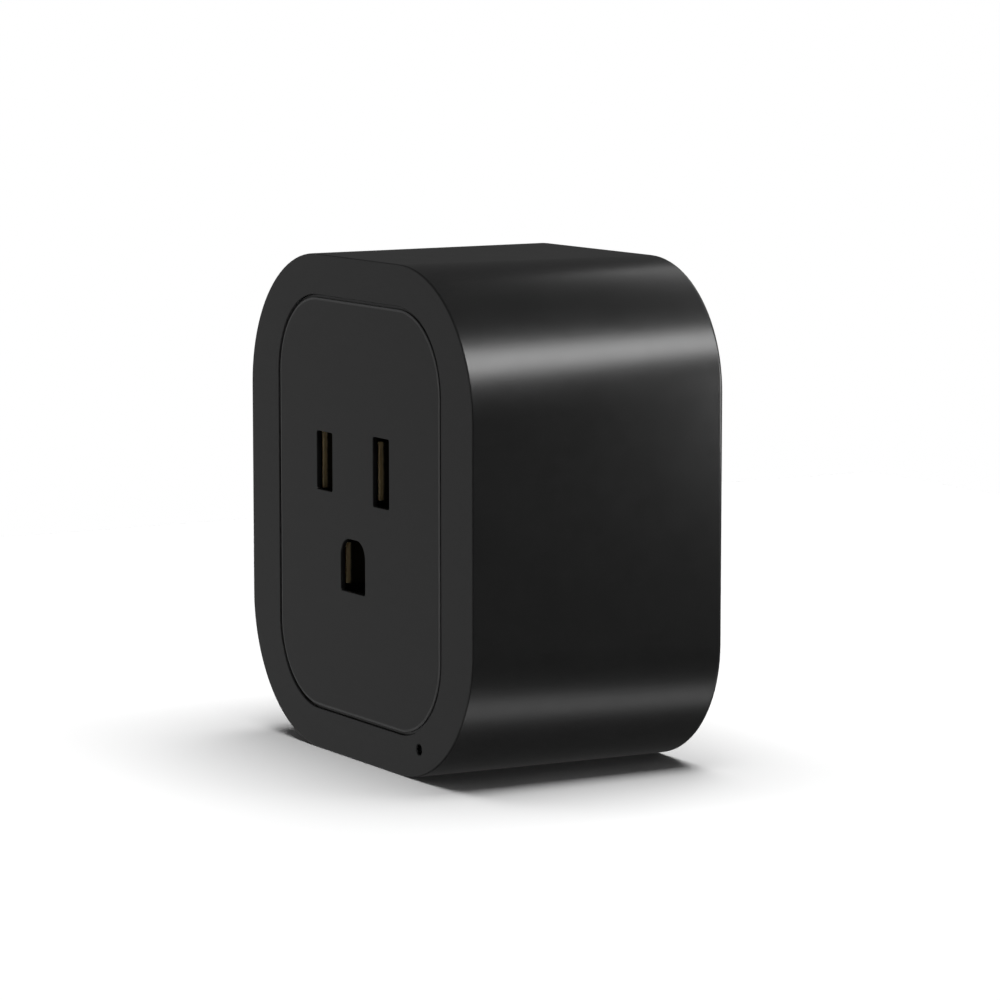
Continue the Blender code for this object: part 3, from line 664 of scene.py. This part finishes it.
def make_case():
    """Full-depth case: face ring, side, rear rim, inner wall and screw bosses."""
    edges = settings()
    mouth = (WIDTH - 2 * WALL, HEIGHT - 2 * WALL, CORNER - WALL)
    window = tuple(side + 2 * PANEL_GAP for side in panel_size()[:2]) + (PANEL_CORNER + PANEL_GAP,)
    rings = [(inset(window, 0), FRONT + WALL)]
    rings += [(inset(window, -i), FRONT + d) for i, d in reversed(roll(edges.window_edge))]
    rings += [(inset(outer_size(d), i), FRONT + d) for i, d in roll(edges.face_edge)]
    rings += [(inset(outer_size(REAR - FRONT - d), i), REAR - d)
              for i, d in reversed(roll(edges.rear_edge))]
    rings += [(inset(mouth, -i), REAR - d) for i, d in roll(edges.mouth_edge)]
    rings.append((inset(mouth, 0), FRONT + WALL))
    case = loft("outer_case", rings, "Y", (0.0, MID_Z), closed=True)
    boss_front, boss_rear = PANEL_HIGH.y + 0.3 * MM, REAR - WALL - 0.5 * MM
    for screw in map(middle, SCREW_NODES):
        reach = sorted((screw.x, math.copysign(WIDTH / 2 - 1.2 * MM, screw.x)))
        place = (screw.x, 0, screw.z)
        join(case, hole("boss", "Y", place, (boss_front, boss_rear), BOSS_RADIUS),
             pocket("rib", reach, (boss_front + 0.6 * MM, boss_rear - 0.6 * MM), around(screw.z, 1.2 * MM)))
        cut(case, hole("bore", "Y", place, (3 * MM, boss_rear + MM), SCREW_BORE))
    pipe_low, pipe_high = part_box("light_pipe")
    light = (pipe_high.x - LIGHT_RADIUS, pipe_low.z + LIGHT_RADIUS)
    button = middle("power_button")
    cut(case, flared_tool(LIGHT_HOLE, light, "Y", FRONT, WALL + MM, 0.12 * MM))
    cut(case, flared_tool(BUTTON_HOLE, (button.y, button.z), "X", CASE_LOW.x, WALL + MM, 0.25 * MM))
    return finished(case, "root", "front_shell", "case_black")


def contact_spaces(front, back):
    """Tool bodies for the spaces behind the three apertures."""
    spaces = [(OUTLET_X + side * SLOT_OFFSET, 2.7 * MM, SLOT_Z, 4.5 * MM) for side in (-1, 1)]
    spaces.append((OUTLET_X, 4.05 * MM, GROUND_Z, 3.5 * MM))
    return [pocket("space", around(x, half), (front, back), around(z, rise)) for x, half, z, rise in spaces]


def make_panel():
    """Flush front panel with rounded rim, three apertures and a hidden flange."""
    edges = settings()
    size = panel_size()
    flange = (PANEL_HIGH.x - PANEL_LOW.x, PANEL_HIGH.z - PANEL_LOW.z, PANEL_CORNER + FLANGE)
    plate = inset(size, 0)
    floor = inset(size, GROOVE_CRACK - PANEL_GAP)
    hollow = inset(size, PANEL_RIM)
    rings = [(inset(size, i), FRONT + d * PANEL_ROLL) for i, d in roll(edges.panel_edge, 8)]
    rings += [(plate, FRONT + GROOVE_DEPTH), (floor, FRONT + GROOVE_DEPTH), (floor, FLANGE_FRONT),
              (inset(flange, 0), FLANGE_FRONT), (inset(flange, 0), PANEL_HIGH.y),
              (hollow, PANEL_HIGH.y), (hollow, FRONT + PANEL_PLATE)]
    panel = loft("front_panel", rings, "Y", (0.0, MID_Z))
    cut(panel, *contact_spaces(FRONT + SLOT_LIP, FRONT + PANEL_PLATE + MM))
    through = (FRONT - MM, FRONT + SLOT_LIP + 0.5 * MM)
    apertures = [(rounded(SLOT_WIDTH, tall, SLOT_CORNER, 4), OUTLET_X + side * SLOT_OFFSET, SLOT_Z)
                 for side, tall in SLOT_HEIGHTS.items()]
    ground = rounded(*GROUND_SIZE, GROUND_TOP_CORNER, 12, bottom=GROUND_LOW_CORNER)
    apertures.append((ground, OUTLET_X, GROUND_Z))
    for outline, x, z in apertures:
        cut(panel, loft("aperture", [(outline, depth) for depth in through], "Y", (x, z), tool=True))
    soften(panel, edges.slot_edge, angle=60)
    return finished(panel, "root", "socket_panel", "panel_black")


def well_tools():
    """Tool bodies for the wells that take the folded prongs."""
    open_rear = REAR + MM
    blade_y, blade_z = BLADE_AXIS.y, BLADE_AXIS.z
    ground_y, ground_z = GROUND_AXIS.y, GROUND_AXIS.z
    blade_well = (blade_y - 3.65 * MM, open_rear)
    slit = (-2.2 * MM, 2.2 * MM)
    tools = [
        pocket("carrier_well", (-8.2 * MM, 8.2 * MM), blade_well, around(blade_z, 3.6 * MM)),
        pocket("ground_well", (-3.3 * MM, 3.3 * MM), (ground_y - 2.9 * MM, open_rear),
               (3.2 * MM, ground_z + 2.9 * MM)),
        pocket("ground_finger", (-5.2 * MM, 5.2 * MM), (REAR - 3.8 * MM, open_rear), (3.6 * MM, 8.6 * MM)),
        pocket("ground_wiper", slit, (ground_y - 3.7 * MM, ground_y), (22.7 * MM, 28 * MM)),
        pocket("ground_slit", slit, (7 * MM, ground_y - 3 * MM), (26.7 * MM, 28 * MM)),
        hole("blade_bore", "X", BLADE_AXIS, (-10 * MM, 10 * MM), BLADE_BORE, steps=32),
        hole("ground_bore", "X", GROUND_AXIS, (-4.8 * MM, 4.8 * MM), BLADE_BORE, steps=32),
    ]
    for side, blade in ((-1, "hot_blade"), (1, "neutral_blade")):
        x, bottom = middle(blade).x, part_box(blade)[0].z
        wiper = sorted((side * 7.0 * MM, side * 8.2 * MM))
        tools += [
            pocket("blade_well", around(x, 1.35 * MM), blade_well, (bottom - 0.7 * MM, blade_z)),
            pocket("finger_well", around(x, 1.95 * MM), (REAR - 4.5 * MM, open_rear), (13.4 * MM, 19 * MM)),
            pocket("wiper_slit", wiper, (7 * MM, blade_y - 3 * MM), around(blade_z, 2 * MM)),
        ]
    return tools


def make_cover():
    """Rear plate with rounded rim, well block and countersunk screw seats."""
    edges = settings()
    size = (COVER_HIGH.x - COVER_LOW.x, COVER_HIGH.z - COVER_LOW.z, CORNER - WALL - COVER_GAP)
    rings = [(inset(size, 0), REAR - WALL)]
    rings += [(inset(size, i), REAR - d) for i, d in reversed(roll(edges.mouth_edge))]
    cover = loft("back_cover", rings, "Y", (0.0, MID_Z))
    join(cover, pocket("well_block", (-11 * MM, 11 * MM), (COVER_LOW.y, REAR - MM), (2.8 * MM, 43.4 * MM)))
    cut(cover, *well_tools())
    for screw in map(middle, SCREW_NODES):
        place = (screw.x, 0, screw.z)
        cut(cover, hole("screw_bore", "Y", place, (REAR - 3 * MM, REAR + MM), SCREW_BORE),
            hole("screw_seat", "Y", place, (REAR - 1.4 * MM, REAR + MM), SCREW_SEAT))
    soften(cover, edges.well_edge, angle=60)
    return finished(cover, "root", "rear_cover", "case_black")


def make_screws():
    """Pan head screws with a tapered cross recess and a drawn shank."""
    for index, node in enumerate(SCREW_NODES):
        low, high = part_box(node)
        x, z = middle(node).x, middle(node).z
        radius, top, dome = (high.x - low.x) / 2, high.y, 0.65 * MM
        turns = [math.radians(angle) for angle in range(0, 90, 15)]
        crown = [(radius * math.cos(a) ** 0.6, top - dome + dome * math.sin(a)) for a in turns]
        under, shank, point = top - 0.95 * MM, 1.0 * MM, low.y + 0.9 * MM
        profile = [(0, low.y), (shank / 2, low.y), (shank, point), (shank, under), (radius, under)]
        screw = turned(f"case_screw_{index + 1}", profile + crown + [(0, top)], "Y", (x, 0, z), 32)
        for wide, tall in ((2.3, 0.5), (0.5, 2.3)):
            cross = [(rounded(wide * MM * k, tall * MM * min(1, k + 0.25), 0.02 * MM, 1), top - d * MM)
                     for k, d in ((0.35, 0.8), (1.0, 0.0), (1.0, -0.5))]
            cut(screw, loft("cross", cross, "Y", (x, z), tool=True))
        finished(screw, "root", node, "steel")


def make_clips():
    """Sprung brass clips whose flared mouths stand just behind the apertures."""
    leaf = 0.5 * MM
    mouth = SLOT_WIDTH / 2 + leaf / 2 - 0.1 * MM
    grip = 0.75 * MM + leaf / 2 + 0.1 * MM
    for side, node in ((-1, "hot_contact"), (1, "neutral_contact"), (0, "ground_contact")):
        low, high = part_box(node)
        web = high.y - leaf / 2
        wide, narrow = around(side * SLOT_OFFSET, mouth), around(side * BLADE_PITCH / 2, grip)
        if side == 0:
            wide, narrow = around(0, 3.3 * MM), around(0, 2.75 * MM)
        legs = []
        for x, pinch, out in zip(wide, narrow, (-0.45 * MM, 0.45 * MM)):
            legs.append([(x, CLIP_FRONT), (x, CLIP_FRONT + MM), (pinch, CLIP_FRONT + 3.4 * MM),
                         (pinch + out, CLIP_FRONT + 6.9 * MM), (pinch + out, web)])
        line = [(OUTLET_X + x, y, middle(node).z) for x, y in legs[1] + legs[0][::-1]]
        clip = strip(node.replace("contact", "clip"), line, (0, 0, 1), high.z - low.z, leaf)
        finished(clip, "root", node, "brass")


# ----------------------------------------------------------- moving pieces

def make_blades():
    """Flat prongs with round roots, coined tips and a latching hole."""
    for node in ("hot_blade", "neutral_blade"):
        low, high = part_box(node)
        half = (high.y - low.y) / 2
        reach, tip = BLADE_AXIS.z - low.z, 1.3 * MM
        shoulder = half - tip * 0.7
        outline = arc((0, 0), half, 0, 180, 32)
        outline += [(-half, tip - reach), (-shoulder, -reach), (shoulder, -reach), (half, tip - reach)]
        blade = loft(node.replace("blade", "prong"), [(outline, low.x), (outline, high.x)], "X",
                     (BLADE_AXIS.y, BLADE_AXIS.z))
        span = (low.x - MM, high.x + MM)
        latch = (0, BLADE_AXIS.y, BLADE_AXIS.z - LATCH_DROP)
        cut(blade, hole("bore", "X", BLADE_AXIS, span, BLADE_BORE),
            hole("hole", "X", latch, span, LATCH_HOLE))
        soften(blade, settings().prong_edge, angle=40, steps=3)
        finished(blade, "blades", node, "nickel")


def barrel(low, high, radius, edge):
    """Profile of a barrel with rounded ends, along X from low to high."""
    left = [(radius - i, low + d) for i, d in roll(edge, 4)]
    right = [(radius - i, high - d) for i, d in reversed(roll(edge, 4))]
    return [(0, low)] + left + right + [(0, high)]


def make_carriers():
    """Moulded carriers on which the prongs turn, and their steel pins."""
    low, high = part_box("blade_carrier")
    shape = barrel(low.x, high.x, (high.z - low.z) / 2, 0.4 * MM)
    carrier = turned("prong_carrier", shape, "X", BLADE_AXIS)
    cut(carrier, hole("bore", "X", BLADE_AXIS, (low.x - MM, high.x + MM), BLADE_BORE))
    finished(carrier, "blades", "blade_carrier", "carrier_black")
    low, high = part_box("ground_carrier")
    foot = (0, GROUND_AXIS.y, 0)
    shape = barrel(low.x, high.x, high.z - GROUND_AXIS.z, 0.4 * MM)
    carrier = turned("round_carrier", shape, "X", GROUND_AXIS)
    collar = [(0, GROUND_AXIS.z), (2.45 * MM, GROUND_AXIS.z), (2.45 * MM, low.z + 0.3 * MM),
              (2.15 * MM, low.z), (0, low.z)]
    join(carrier, turned("collar", collar, "Z", foot, tool=True))
    cut(carrier, hole("socket", "Z", foot, (low.z - MM, low.z + 1.8 * MM), 1.8 * MM),
        hole("bore", "X", GROUND_AXIS, (low.x - MM, high.x + MM), BLADE_BORE))
    finished(carrier, "ground", "ground_carrier", "carrier_black")
    for node, axis in (("blade_pivot_pin", BLADE_AXIS), ("ground_pivot_pin", GROUND_AXIS)):
        low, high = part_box(node)
        shape = barrel(low.x, high.x, PIN_RADIUS, 0.15 * MM)
        pin = turned(node.replace("pivot", "hinge"), shape, "X", axis, 32)
        finished(pin, "root", node, "steel")


def make_round_prong():
    """Turned ground prong with a full round nose and a stub in its carrier."""
    low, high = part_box("ground_pin")
    radius = (high.x - low.x) / 2
    shoulder = high.z - 1.8 * MM
    nose = [(r, low.z + radius + h) for r, h in arc((0, 0), radius, 0, -90, 12)][:-1]
    rim = [(radius - i, shoulder - d) for i, d in roll(0.2 * MM, 3)]
    profile = [(0, high.z), (1.3 * MM, high.z), (1.5 * MM, high.z - 0.2 * MM), (1.5 * MM, shoulder)]
    prong = turned("round_prong", profile + rim + nose + [(0, low.z)], "Z", (0, GROUND_AXIS.y, 0), 64)
    finished(prong, "ground", "ground_pin", "nickel")


def make_button():
    """Side button with a gently crowned face, a retaining flange and a stem."""
    low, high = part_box("power_button")
    centre = middle("power_button")
    flange_face = high.x - 1.0 * MM
    crown = [(1.9, 0.0), (1.3, 0.02), (0.8, 0.05)]
    rings = [(inset(BUTTON_SIZE, i * MM), low.x + d * MM) for i, d in crown]
    rings += [(inset(BUTTON_SIZE, i), low.x + 0.08 * MM + d) for i, d in roll(0.35 * MM)]
    rings += [(inset(BUTTON_SIZE, 0), flange_face), (inset(BUTTON_SIZE, -MM), flange_face),
              (inset(BUTTON_SIZE, -MM), flange_face + 0.7 * MM)]
    button = loft("side_button", rings, "X", (centre.y, centre.z))
    join(button, hole("stem", "X", (0, centre.y, centre.z), (flange_face + 0.4 * MM, high.x), 1.1 * MM))
    return finished(button, "button", "power_button", "button_black")


def make_light():
    """Clear rod behind the pin hole, bent to meet the status light."""
    low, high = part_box("light_pipe")
    x, near_z, far_z = high.x - LIGHT_RADIUS, low.z + LIGHT_RADIUS, high.z - LIGHT_RADIUS
    points = [(x, low.y, near_z), (x, -11.8 * MM, near_z), (x - 0.3 * MM, -3 * MM, far_z),
              (x - 0.3 * MM, high.y, far_z)]
    curve = bpy.data.curves.new("status_light", "CURVE")
    curve.dimensions = "3D"
    curve.bevel_depth = LIGHT_RADIUS
    curve.bevel_resolution = 6
    curve.use_fill_caps = True
    route = bend(points, 2.5 * MM, 8)
    spline = curve.splines.new("POLY")
    spline.points.add(len(route) - 1)
    for point, place in zip(spline.points, route):
        point.co = (*place, 1.0)
    pipe = placed("status_light", curve)
    curve.materials.append(look("smoke_clear"))
    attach(pipe, "root")
    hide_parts("light_pipe")
    return pipe


def dress_inner_parts():
    """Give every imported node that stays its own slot's finish."""
    slots = {part["node"]: part["material_slot"] for part in frame["record"]["subparts"]}
    for node, piece in frame["nodes"].items():
        if not piece.hide_render:
            piece.data.materials.clear()
            piece.data.materials.append(look(slots[node]))
            piece.data.shade_smooth()
            piece.data.set_sharp_from_angle(angle=math.radians(35))


# ------------------------------------------------------------------ studio

def aim(piece, target):
    """Turn a lamp or the camera to look at a point."""
    direction = Vector(target) - piece.location
    piece.rotation_mode = "QUATERNION"
    piece.rotation_quaternion = direction.to_track_quat("-Z", "Y")


def soft_lamp(name, where, target, size, power, glossy=True, diffuse=True):
    """A rectangular softbox, hidden from the camera; it can skip shine or soft light."""
    light = bpy.data.lights.new(name, "AREA")
    light.shape = "RECTANGLE"
    light.size, light.size_y = size
    light.energy = power
    lamp = placed(name, light)
    lamp.location = where
    lamp.visible_camera = False
    lamp.visible_glossy = glossy
    lamp.visible_diffuse = diffuse
    aim(lamp, target)


def make_floor(studio):
    """A wide pale floor with a barely uneven matt surface."""
    bm = bmesh.new()
    bmesh.ops.create_grid(bm, x_segments=8, y_segments=8, size=studio.floor_size)
    floor = meshed("floor", bm)
    finish = Finish("floor_paint", Specular_IOR_Level=0.1)
    cloud = finish.noise(40 * MM, 3.0)
    tone = tuple(studio.floor_colour)
    finish.feed(Base_Color=finish.blend(cloud, tone, shade(tone, 0.99)), Roughness=cloud * 0.1 + 0.8)
    floor.data.materials.append(finish.relief(cloud, 0.05 * MM).material)
    floor.visible_glossy = False
    floor.visible_shadow = False


def make_world(studio):
    """White surroundings, dimmer as a light than as a backdrop and dimmer still in reflections."""
    world = bpy.data.worlds.new("studio")
    world.use_nodes = True
    bpy.context.scene.world = world
    tree = world.node_tree
    path = tree.nodes.new("ShaderNodeLightPath")
    level = studio.fill
    for ray, strength in (("Is Glossy Ray", studio.reflected), ("Is Camera Ray", 1.0)):
        step = tree.nodes.new("ShaderNodeMapRange")
        step.inputs["To Max"].default_value = strength
        tree.links.new(path.outputs[ray], step.inputs["Value"])
        if isinstance(level, float):
            step.inputs["To Min"].default_value = level
        else:
            tree.links.new(level, step.inputs["To Min"])
        level = step.outputs[0]
    sky = tree.nodes["Background"]
    sky.inputs["Color"].default_value = (1.0, 1.0, 1.0, 1.0)
    tree.links.new(level, sky.inputs["Strength"])


def make_camera(studio):
    """Camera at its place round the plug's centre, level with its upright edges."""
    turn, rise = studio.camera_azimuth, studio.camera_elevation
    back = Vector((math.sin(turn) * math.cos(rise), -math.cos(turn) * math.cos(rise), math.sin(rise)))
    right = Vector((math.cos(turn), math.sin(turn), 0.0))
    up = back.cross(right)
    data = bpy.data.cameras.new("camera")
    data.sensor_width = 36.0
    data.lens = studio.focal_length
    data.clip_start = 0.01
    data.clip_end = 50.0
    camera = placed("camera", data)
    centre = Vector((0.0, (FRONT + REAR) / 2, MID_Z))
    camera.location = (centre + back * studio.camera_distance + right * studio.camera_right
                       + up * studio.camera_up)
    camera.rotation_mode = "QUATERNION"
    camera.rotation_quaternion = Matrix((right, up, back)).transposed().to_quaternion()
    bpy.context.scene.camera = camera


def make_studio():
    """Floor, surroundings, softboxes and camera."""
    studio = bpy.context.scene.plug_studio
    bpy.context.scene.view_settings.view_transform = "Standard"
    make_floor(studio)
    make_world(studio)
    make_camera(studio)
    centre, strip_size = (0.0, 0.0, MID_Z), (1.2, 0.2)
    side_edge, top_edge = (0.027, 0.017, 0.040), (0.02, 0.017, 0.056)
    soft_lamp("overhead", (0.0, 0.12, 1.5), (0.0, 0.0, 0.0), (1.2, 1.2), studio.overhead_power, glossy=False)
    soft_lamp("face", (-0.85, -0.50, -0.10), centre, (1.2, 1.2), studio.face_power)
    for name, where, target, size in (
            ("front", (-0.05, -1.0, -0.08), centre, (0.5, 1.0)),
            ("rear_side", (0.07, 0.075, 0.045), side_edge, (0.03, 0.03)),
            ("rear_top", (0.0, 0.11, 0.15), top_edge, (0.14, 0.05)),
            ("upper_strip", (0.50, 0.50, 0.45), (0.0, 0.50, MID_Z), strip_size),
            ("lower_strip", (0.36, 0.40, -0.55), (0.0, 0.40, MID_Z), strip_size)):
        soft_lamp(name, where, target, size, getattr(studio, name + "_power"), diffuse=False)


# --------------------------------------------------------------- add-on

FINISHES = {
    "case_black": lambda name, s: moulded(name, tuple(s.case_colour), s.case_roughness,
                                          specular=s.case_specular, painted_light=painted_groove_light),
    "panel_black": lambda name, s: moulded(name, tuple(s.panel_colour), s.case_roughness,
                                           specular=s.case_specular, painted_light=painted_panel_light_and_shade),
    "button_black": lambda name, s: moulded(name, tuple(s.case_colour), 0.36, 0.2 * MM, 0.002 * MM),
    "carrier_black": lambda name, s: moulded(name, (0.018, 0.018, 0.019), 0.42),
    "block_black": lambda name, s: moulded(name, (0.006, 0.006, 0.006), 0.55, grain=0.2 * MM),
    "chip_black": lambda name, s: moulded(name, (0.015, 0.015, 0.015), 0.40, grain=0.08 * MM),
    "relay_blue": lambda name, s: moulded(name, (0.03, 0.12, 0.32), 0.35, grain=0.3 * MM),
    "bobbin_cream": lambda name, s: moulded(name, (0.72, 0.68, 0.56), 0.5, grain=0.3 * MM),
    "smoke_clear": lambda name, s: smoked_clear(name, (0.008, 0.008, 0.009)),
    "brass": lambda name, s: outlet_brass(name, tuple(s.brass_colour)),
    "nickel": lambda name, s: plated(name, tuple(s.nickel_colour), 0.26),
    "steel": lambda name, s: plated(name, (0.52, 0.51, 0.50), 0.34, brushed="X"),
    "copper": lambda name, s: wound_copper(name, (0.60, 0.25, 0.12)),
    "board_green": lambda name, s: circuit_board(name, (0.02, 0.12, 0.06)),
    "cap_yellow": lambda name, s: dipped(name, (0.70, 0.48, 0.06), 0.35),
    "sleeve_black": lambda name, s: dipped(name, (0.03, 0.03, 0.04), 0.3),
    "disc_blue": lambda name, s: dipped(name, (0.04, 0.16, 0.45), 0.28),
    "resistor_green": lambda name, s: dipped(name, (0.14, 0.30, 0.22), 0.4),
    "lens_white": lambda name, s: dipped(name, (0.80, 0.80, 0.75), 0.15),
    "core_grey": lambda name, s: ferrite(name, (0.07, 0.07, 0.07)),
}


def length(name, description, default):
    """A length property of the sidebar."""
    return amount(name, description, default, precision=5, subtype="DISTANCE", unit="LENGTH")


def step(name, description, default):
    """A length property of the sidebar that may be negative."""
    return FloatProperty(name=name, description=description, default=default, precision=5,
                         subtype="DISTANCE", unit="LENGTH")


def angle(name, description, degrees):
    """An angle property of the sidebar."""
    return FloatProperty(name=name, description=description, default=math.radians(degrees),
                         subtype="ANGLE", unit="ROTATION")


def amount(name, description, default, min=0.0, **limits):
    """A plain number of the sidebar, with its lower limit."""
    return FloatProperty(name=name, description=description, default=default, min=min, **limits)


def share(name, description, default):
    """A number of the sidebar, from 0 to 1."""
    return amount(name, description, default, max=1.0, subtype="FACTOR")


def power(name, description, watts):
    """A lamp's power in the sidebar."""
    return amount(name, description, watts, unit="POWER")


def colour(name, description, default):
    """A colour property of the sidebar."""
    return FloatVectorProperty(name=name, description=description, default=default, min=0.0, max=1.0,
                               size=3, subtype="COLOR")


class PlugSettings(bpy.types.PropertyGroup):
    """Edges and finishes of the plug."""

    face_edge: length("Face edge", "Radius of the edge between face and side", 0.22 * MM)
    window_edge: length("Window edge", "Radius round the window of the face", 0.08 * MM)
    panel_edge: length("Panel edge", "Width of the rolled edge round the front panel", 0.45 * MM)
    slot_edge: length("Slot edge", "Radius round the apertures", 0.08 * MM)
    rear_edge: length("Rear edge", "Radius of the case's rear edge", 0.55 * MM)
    mouth_edge: length("Mouth edge", "Radius between rear rim and rear cover", 0.25 * MM)
    well_edge: length("Well edge", "Radius round the wells of the rear cover", 0.2 * MM)
    prong_edge: length("Prong edge", "Coined edge of the flat prongs", 0.25 * MM)
    case_colour: colour("Case", "Colour of the moulded case", (0.008, 0.008, 0.008))
    panel_colour: colour("Panel", "Colour of the front panel", (0.008, 0.008, 0.008))
    brass_colour: colour("Brass", "Colour of the outlet clips", (1.0, 0.80, 0.46))
    nickel_colour: colour("Nickel", "Colour of the plated prongs", (0.66, 0.64, 0.60))
    case_roughness: share("Case roughness", "Roughness of the moulded surfaces", 0.30)
    case_specular: share("Case reflection", "Strength of the case's reflections", 0.5)


class StudioSettings(bpy.types.PropertyGroup):
    """Camera, floor and lamps."""

    camera_azimuth: angle("Azimuth", "Turn of the camera round the plug", 59.589)
    camera_elevation: angle("Elevation", "Rise of the camera above level", 7.416)
    camera_distance: length("Distance", "From the camera to the plug's centre", 8.405 * HEIGHT)
    camera_right: step("Right", "Sideways step of the camera", 0.038 * HEIGHT)
    camera_up: step("Up", "Upward step of the camera", 0.005 * HEIGHT)
    focal_length: amount("Focal length", "Lens in millimetres on a 36 mm sensor", 150.7, min=1.0)
    floor_size: length("Floor size", "Half the floor's side", 0.2)
    floor_colour: colour("Floor", "Colour of the floor", (0.98, 0.98, 0.98))
    fill: amount("Fill", "Light from the surroundings", 0.06)
    reflected: amount("Reflected", "Surroundings as seen in reflections", 0.08)
    overhead_power: power("Overhead", "Power of the overhead softbox", 28.0)
    face_power: power("Face", "Power of the softbox that the face reflects", 0.95)
    front_power: power("Front", "Power of the softbox that the panel's edge reflects", 1.5)
    rear_side_power: power("Rear side", "Power of the small lamp behind the side", 0.025)
    rear_top_power: power("Rear top", "Power of the small lamp behind the top", 0.03)
    upper_strip_power: power("Upper strip", "Power of the strip above the side", 7.6)
    lower_strip_power: power("Lower strip", "Power of the strip below the side", 1.2)


class Undoable:
    """Options that every builder shares."""

    bl_options = {"REGISTER", "UNDO"}


class PLUG_OT_case(Undoable, bpy.types.Operator):
    """Build the full-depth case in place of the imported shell"""

    bl_idname = "plug.case"
    bl_label = "Outer case"

    def execute(self, context):
        make_case()
        return {"FINISHED"}


class PLUG_OT_panel(Undoable, bpy.types.Operator):
    """Build the flush front panel with its three apertures"""

    bl_idname = "plug.panel"
    bl_label = "Front panel"

    def execute(self, context):
        make_panel()
        return {"FINISHED"}


class PLUG_OT_cover(Undoable, bpy.types.Operator):
    """Build the rear cover with the wells for the folded prongs"""

    bl_idname = "plug.cover"
    bl_label = "Back cover"

    def execute(self, context):
        make_cover()
        return {"FINISHED"}


class PLUG_OT_screws(Undoable, bpy.types.Operator):
    """Build the pan head screws of the rear cover"""

    bl_idname = "plug.screws"
    bl_label = "Case screws"

    def execute(self, context):
        make_screws()
        return {"FINISHED"}


class PLUG_OT_clips(Undoable, bpy.types.Operator):
    """Build the sprung brass clips behind the apertures"""

    bl_idname = "plug.clips"
    bl_label = "Outlet clips"

    def execute(self, context):
        make_clips()
        return {"FINISHED"}


class PLUG_OT_blades(Undoable, bpy.types.Operator):
    """Build both flat prongs"""

    bl_idname = "plug.blades"
    bl_label = "Flat prongs"

    def execute(self, context):
        make_blades()
        return {"FINISHED"}


class PLUG_OT_carriers(Undoable, bpy.types.Operator):
    """Build the carriers of the prongs and their hinge pins"""

    bl_idname = "plug.carriers"
    bl_label = "Carriers and pins"

    def execute(self, context):
        make_carriers()
        return {"FINISHED"}


class PLUG_OT_round_prong(Undoable, bpy.types.Operator):
    """Build the turned ground prong"""

    bl_idname = "plug.round_prong"
    bl_label = "Round prong"

    def execute(self, context):
        make_round_prong()
        return {"FINISHED"}


class PLUG_OT_button(Undoable, bpy.types.Operator):
    """Build the side button"""

    bl_idname = "plug.button"
    bl_label = "Side button"

    def execute(self, context):
        make_button()
        return {"FINISHED"}


class PLUG_OT_light(Undoable, bpy.types.Operator):
    """Build the clear rod of the status light"""

    bl_idname = "plug.light"
    bl_label = "Status light"

    def execute(self, context):
        make_light()
        return {"FINISHED"}


class PLUG_OT_inside(Undoable, bpy.types.Operator):
    """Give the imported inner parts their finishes"""

    bl_idname = "plug.inside"
    bl_label = "Inner parts"

    def execute(self, context):
        dress_inner_parts()
        return {"FINISHED"}


class PLUG_OT_studio(Undoable, bpy.types.Operator):
    """Build the floor, the lamps and the camera"""

    bl_idname = "plug.studio"
    bl_label = "Studio"

    def execute(self, context):
        make_studio()
        return {"FINISHED"}


BUILDERS = (
    PLUG_OT_case, PLUG_OT_panel, PLUG_OT_cover, PLUG_OT_screws, PLUG_OT_clips, PLUG_OT_blades,
    PLUG_OT_carriers, PLUG_OT_round_prong, PLUG_OT_button, PLUG_OT_light, PLUG_OT_inside, PLUG_OT_studio,
)


class PLUG_PT_sidebar(bpy.types.Panel):
    """The builder's panel in the 3D view's sidebar"""

    bl_label = "Smart Plug"
    bl_idname = "PLUG_PT_sidebar"
    bl_space_type = "VIEW_3D"
    bl_region_type = "UI"
    bl_category = "Smart Plug"

    def draw(self, context):
        for title, group in (("Plug", context.scene.smart_plug), ("Studio", context.scene.plug_studio)):
            self.layout.label(text=title)
            column = self.layout.column(align=True)
            for key in group.bl_rna.properties.keys():
                if key not in ("rna_type", "name"):
                    column.prop(group, key)
        for builder in BUILDERS:
            self.layout.operator(builder.bl_idname)


CLASSES = (PlugSettings, StudioSettings, *BUILDERS, PLUG_PT_sidebar)


def register():
    """Register the classes and the scene's two groups of settings."""
    for cls in CLASSES:
        bpy.utils.register_class(cls)
    bpy.types.Scene.smart_plug = PointerProperty(type=PlugSettings)
    bpy.types.Scene.plug_studio = PointerProperty(type=StudioSettings)


def unregister():
    """Take everything out again."""
    del bpy.types.Scene.plug_studio
    del bpy.types.Scene.smart_plug
    for cls in reversed(CLASSES):
        bpy.utils.unregister_class(cls)


def clear_start():
    """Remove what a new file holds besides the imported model."""
    kept = set(frame["nodes"].values()) | set(frame["bodies"].values())
    for piece in list(bpy.data.objects):
        if piece not in kept:
            bpy.data.objects.remove(piece)


def main():
    """Build every piece and the studio."""
    register()
    clear_start()
    for builder in BUILDERS:
        group, action = builder.bl_idname.split(".")
        getattr(getattr(bpy.ops, group), action)()


if __name__ == "__main__":
    main()
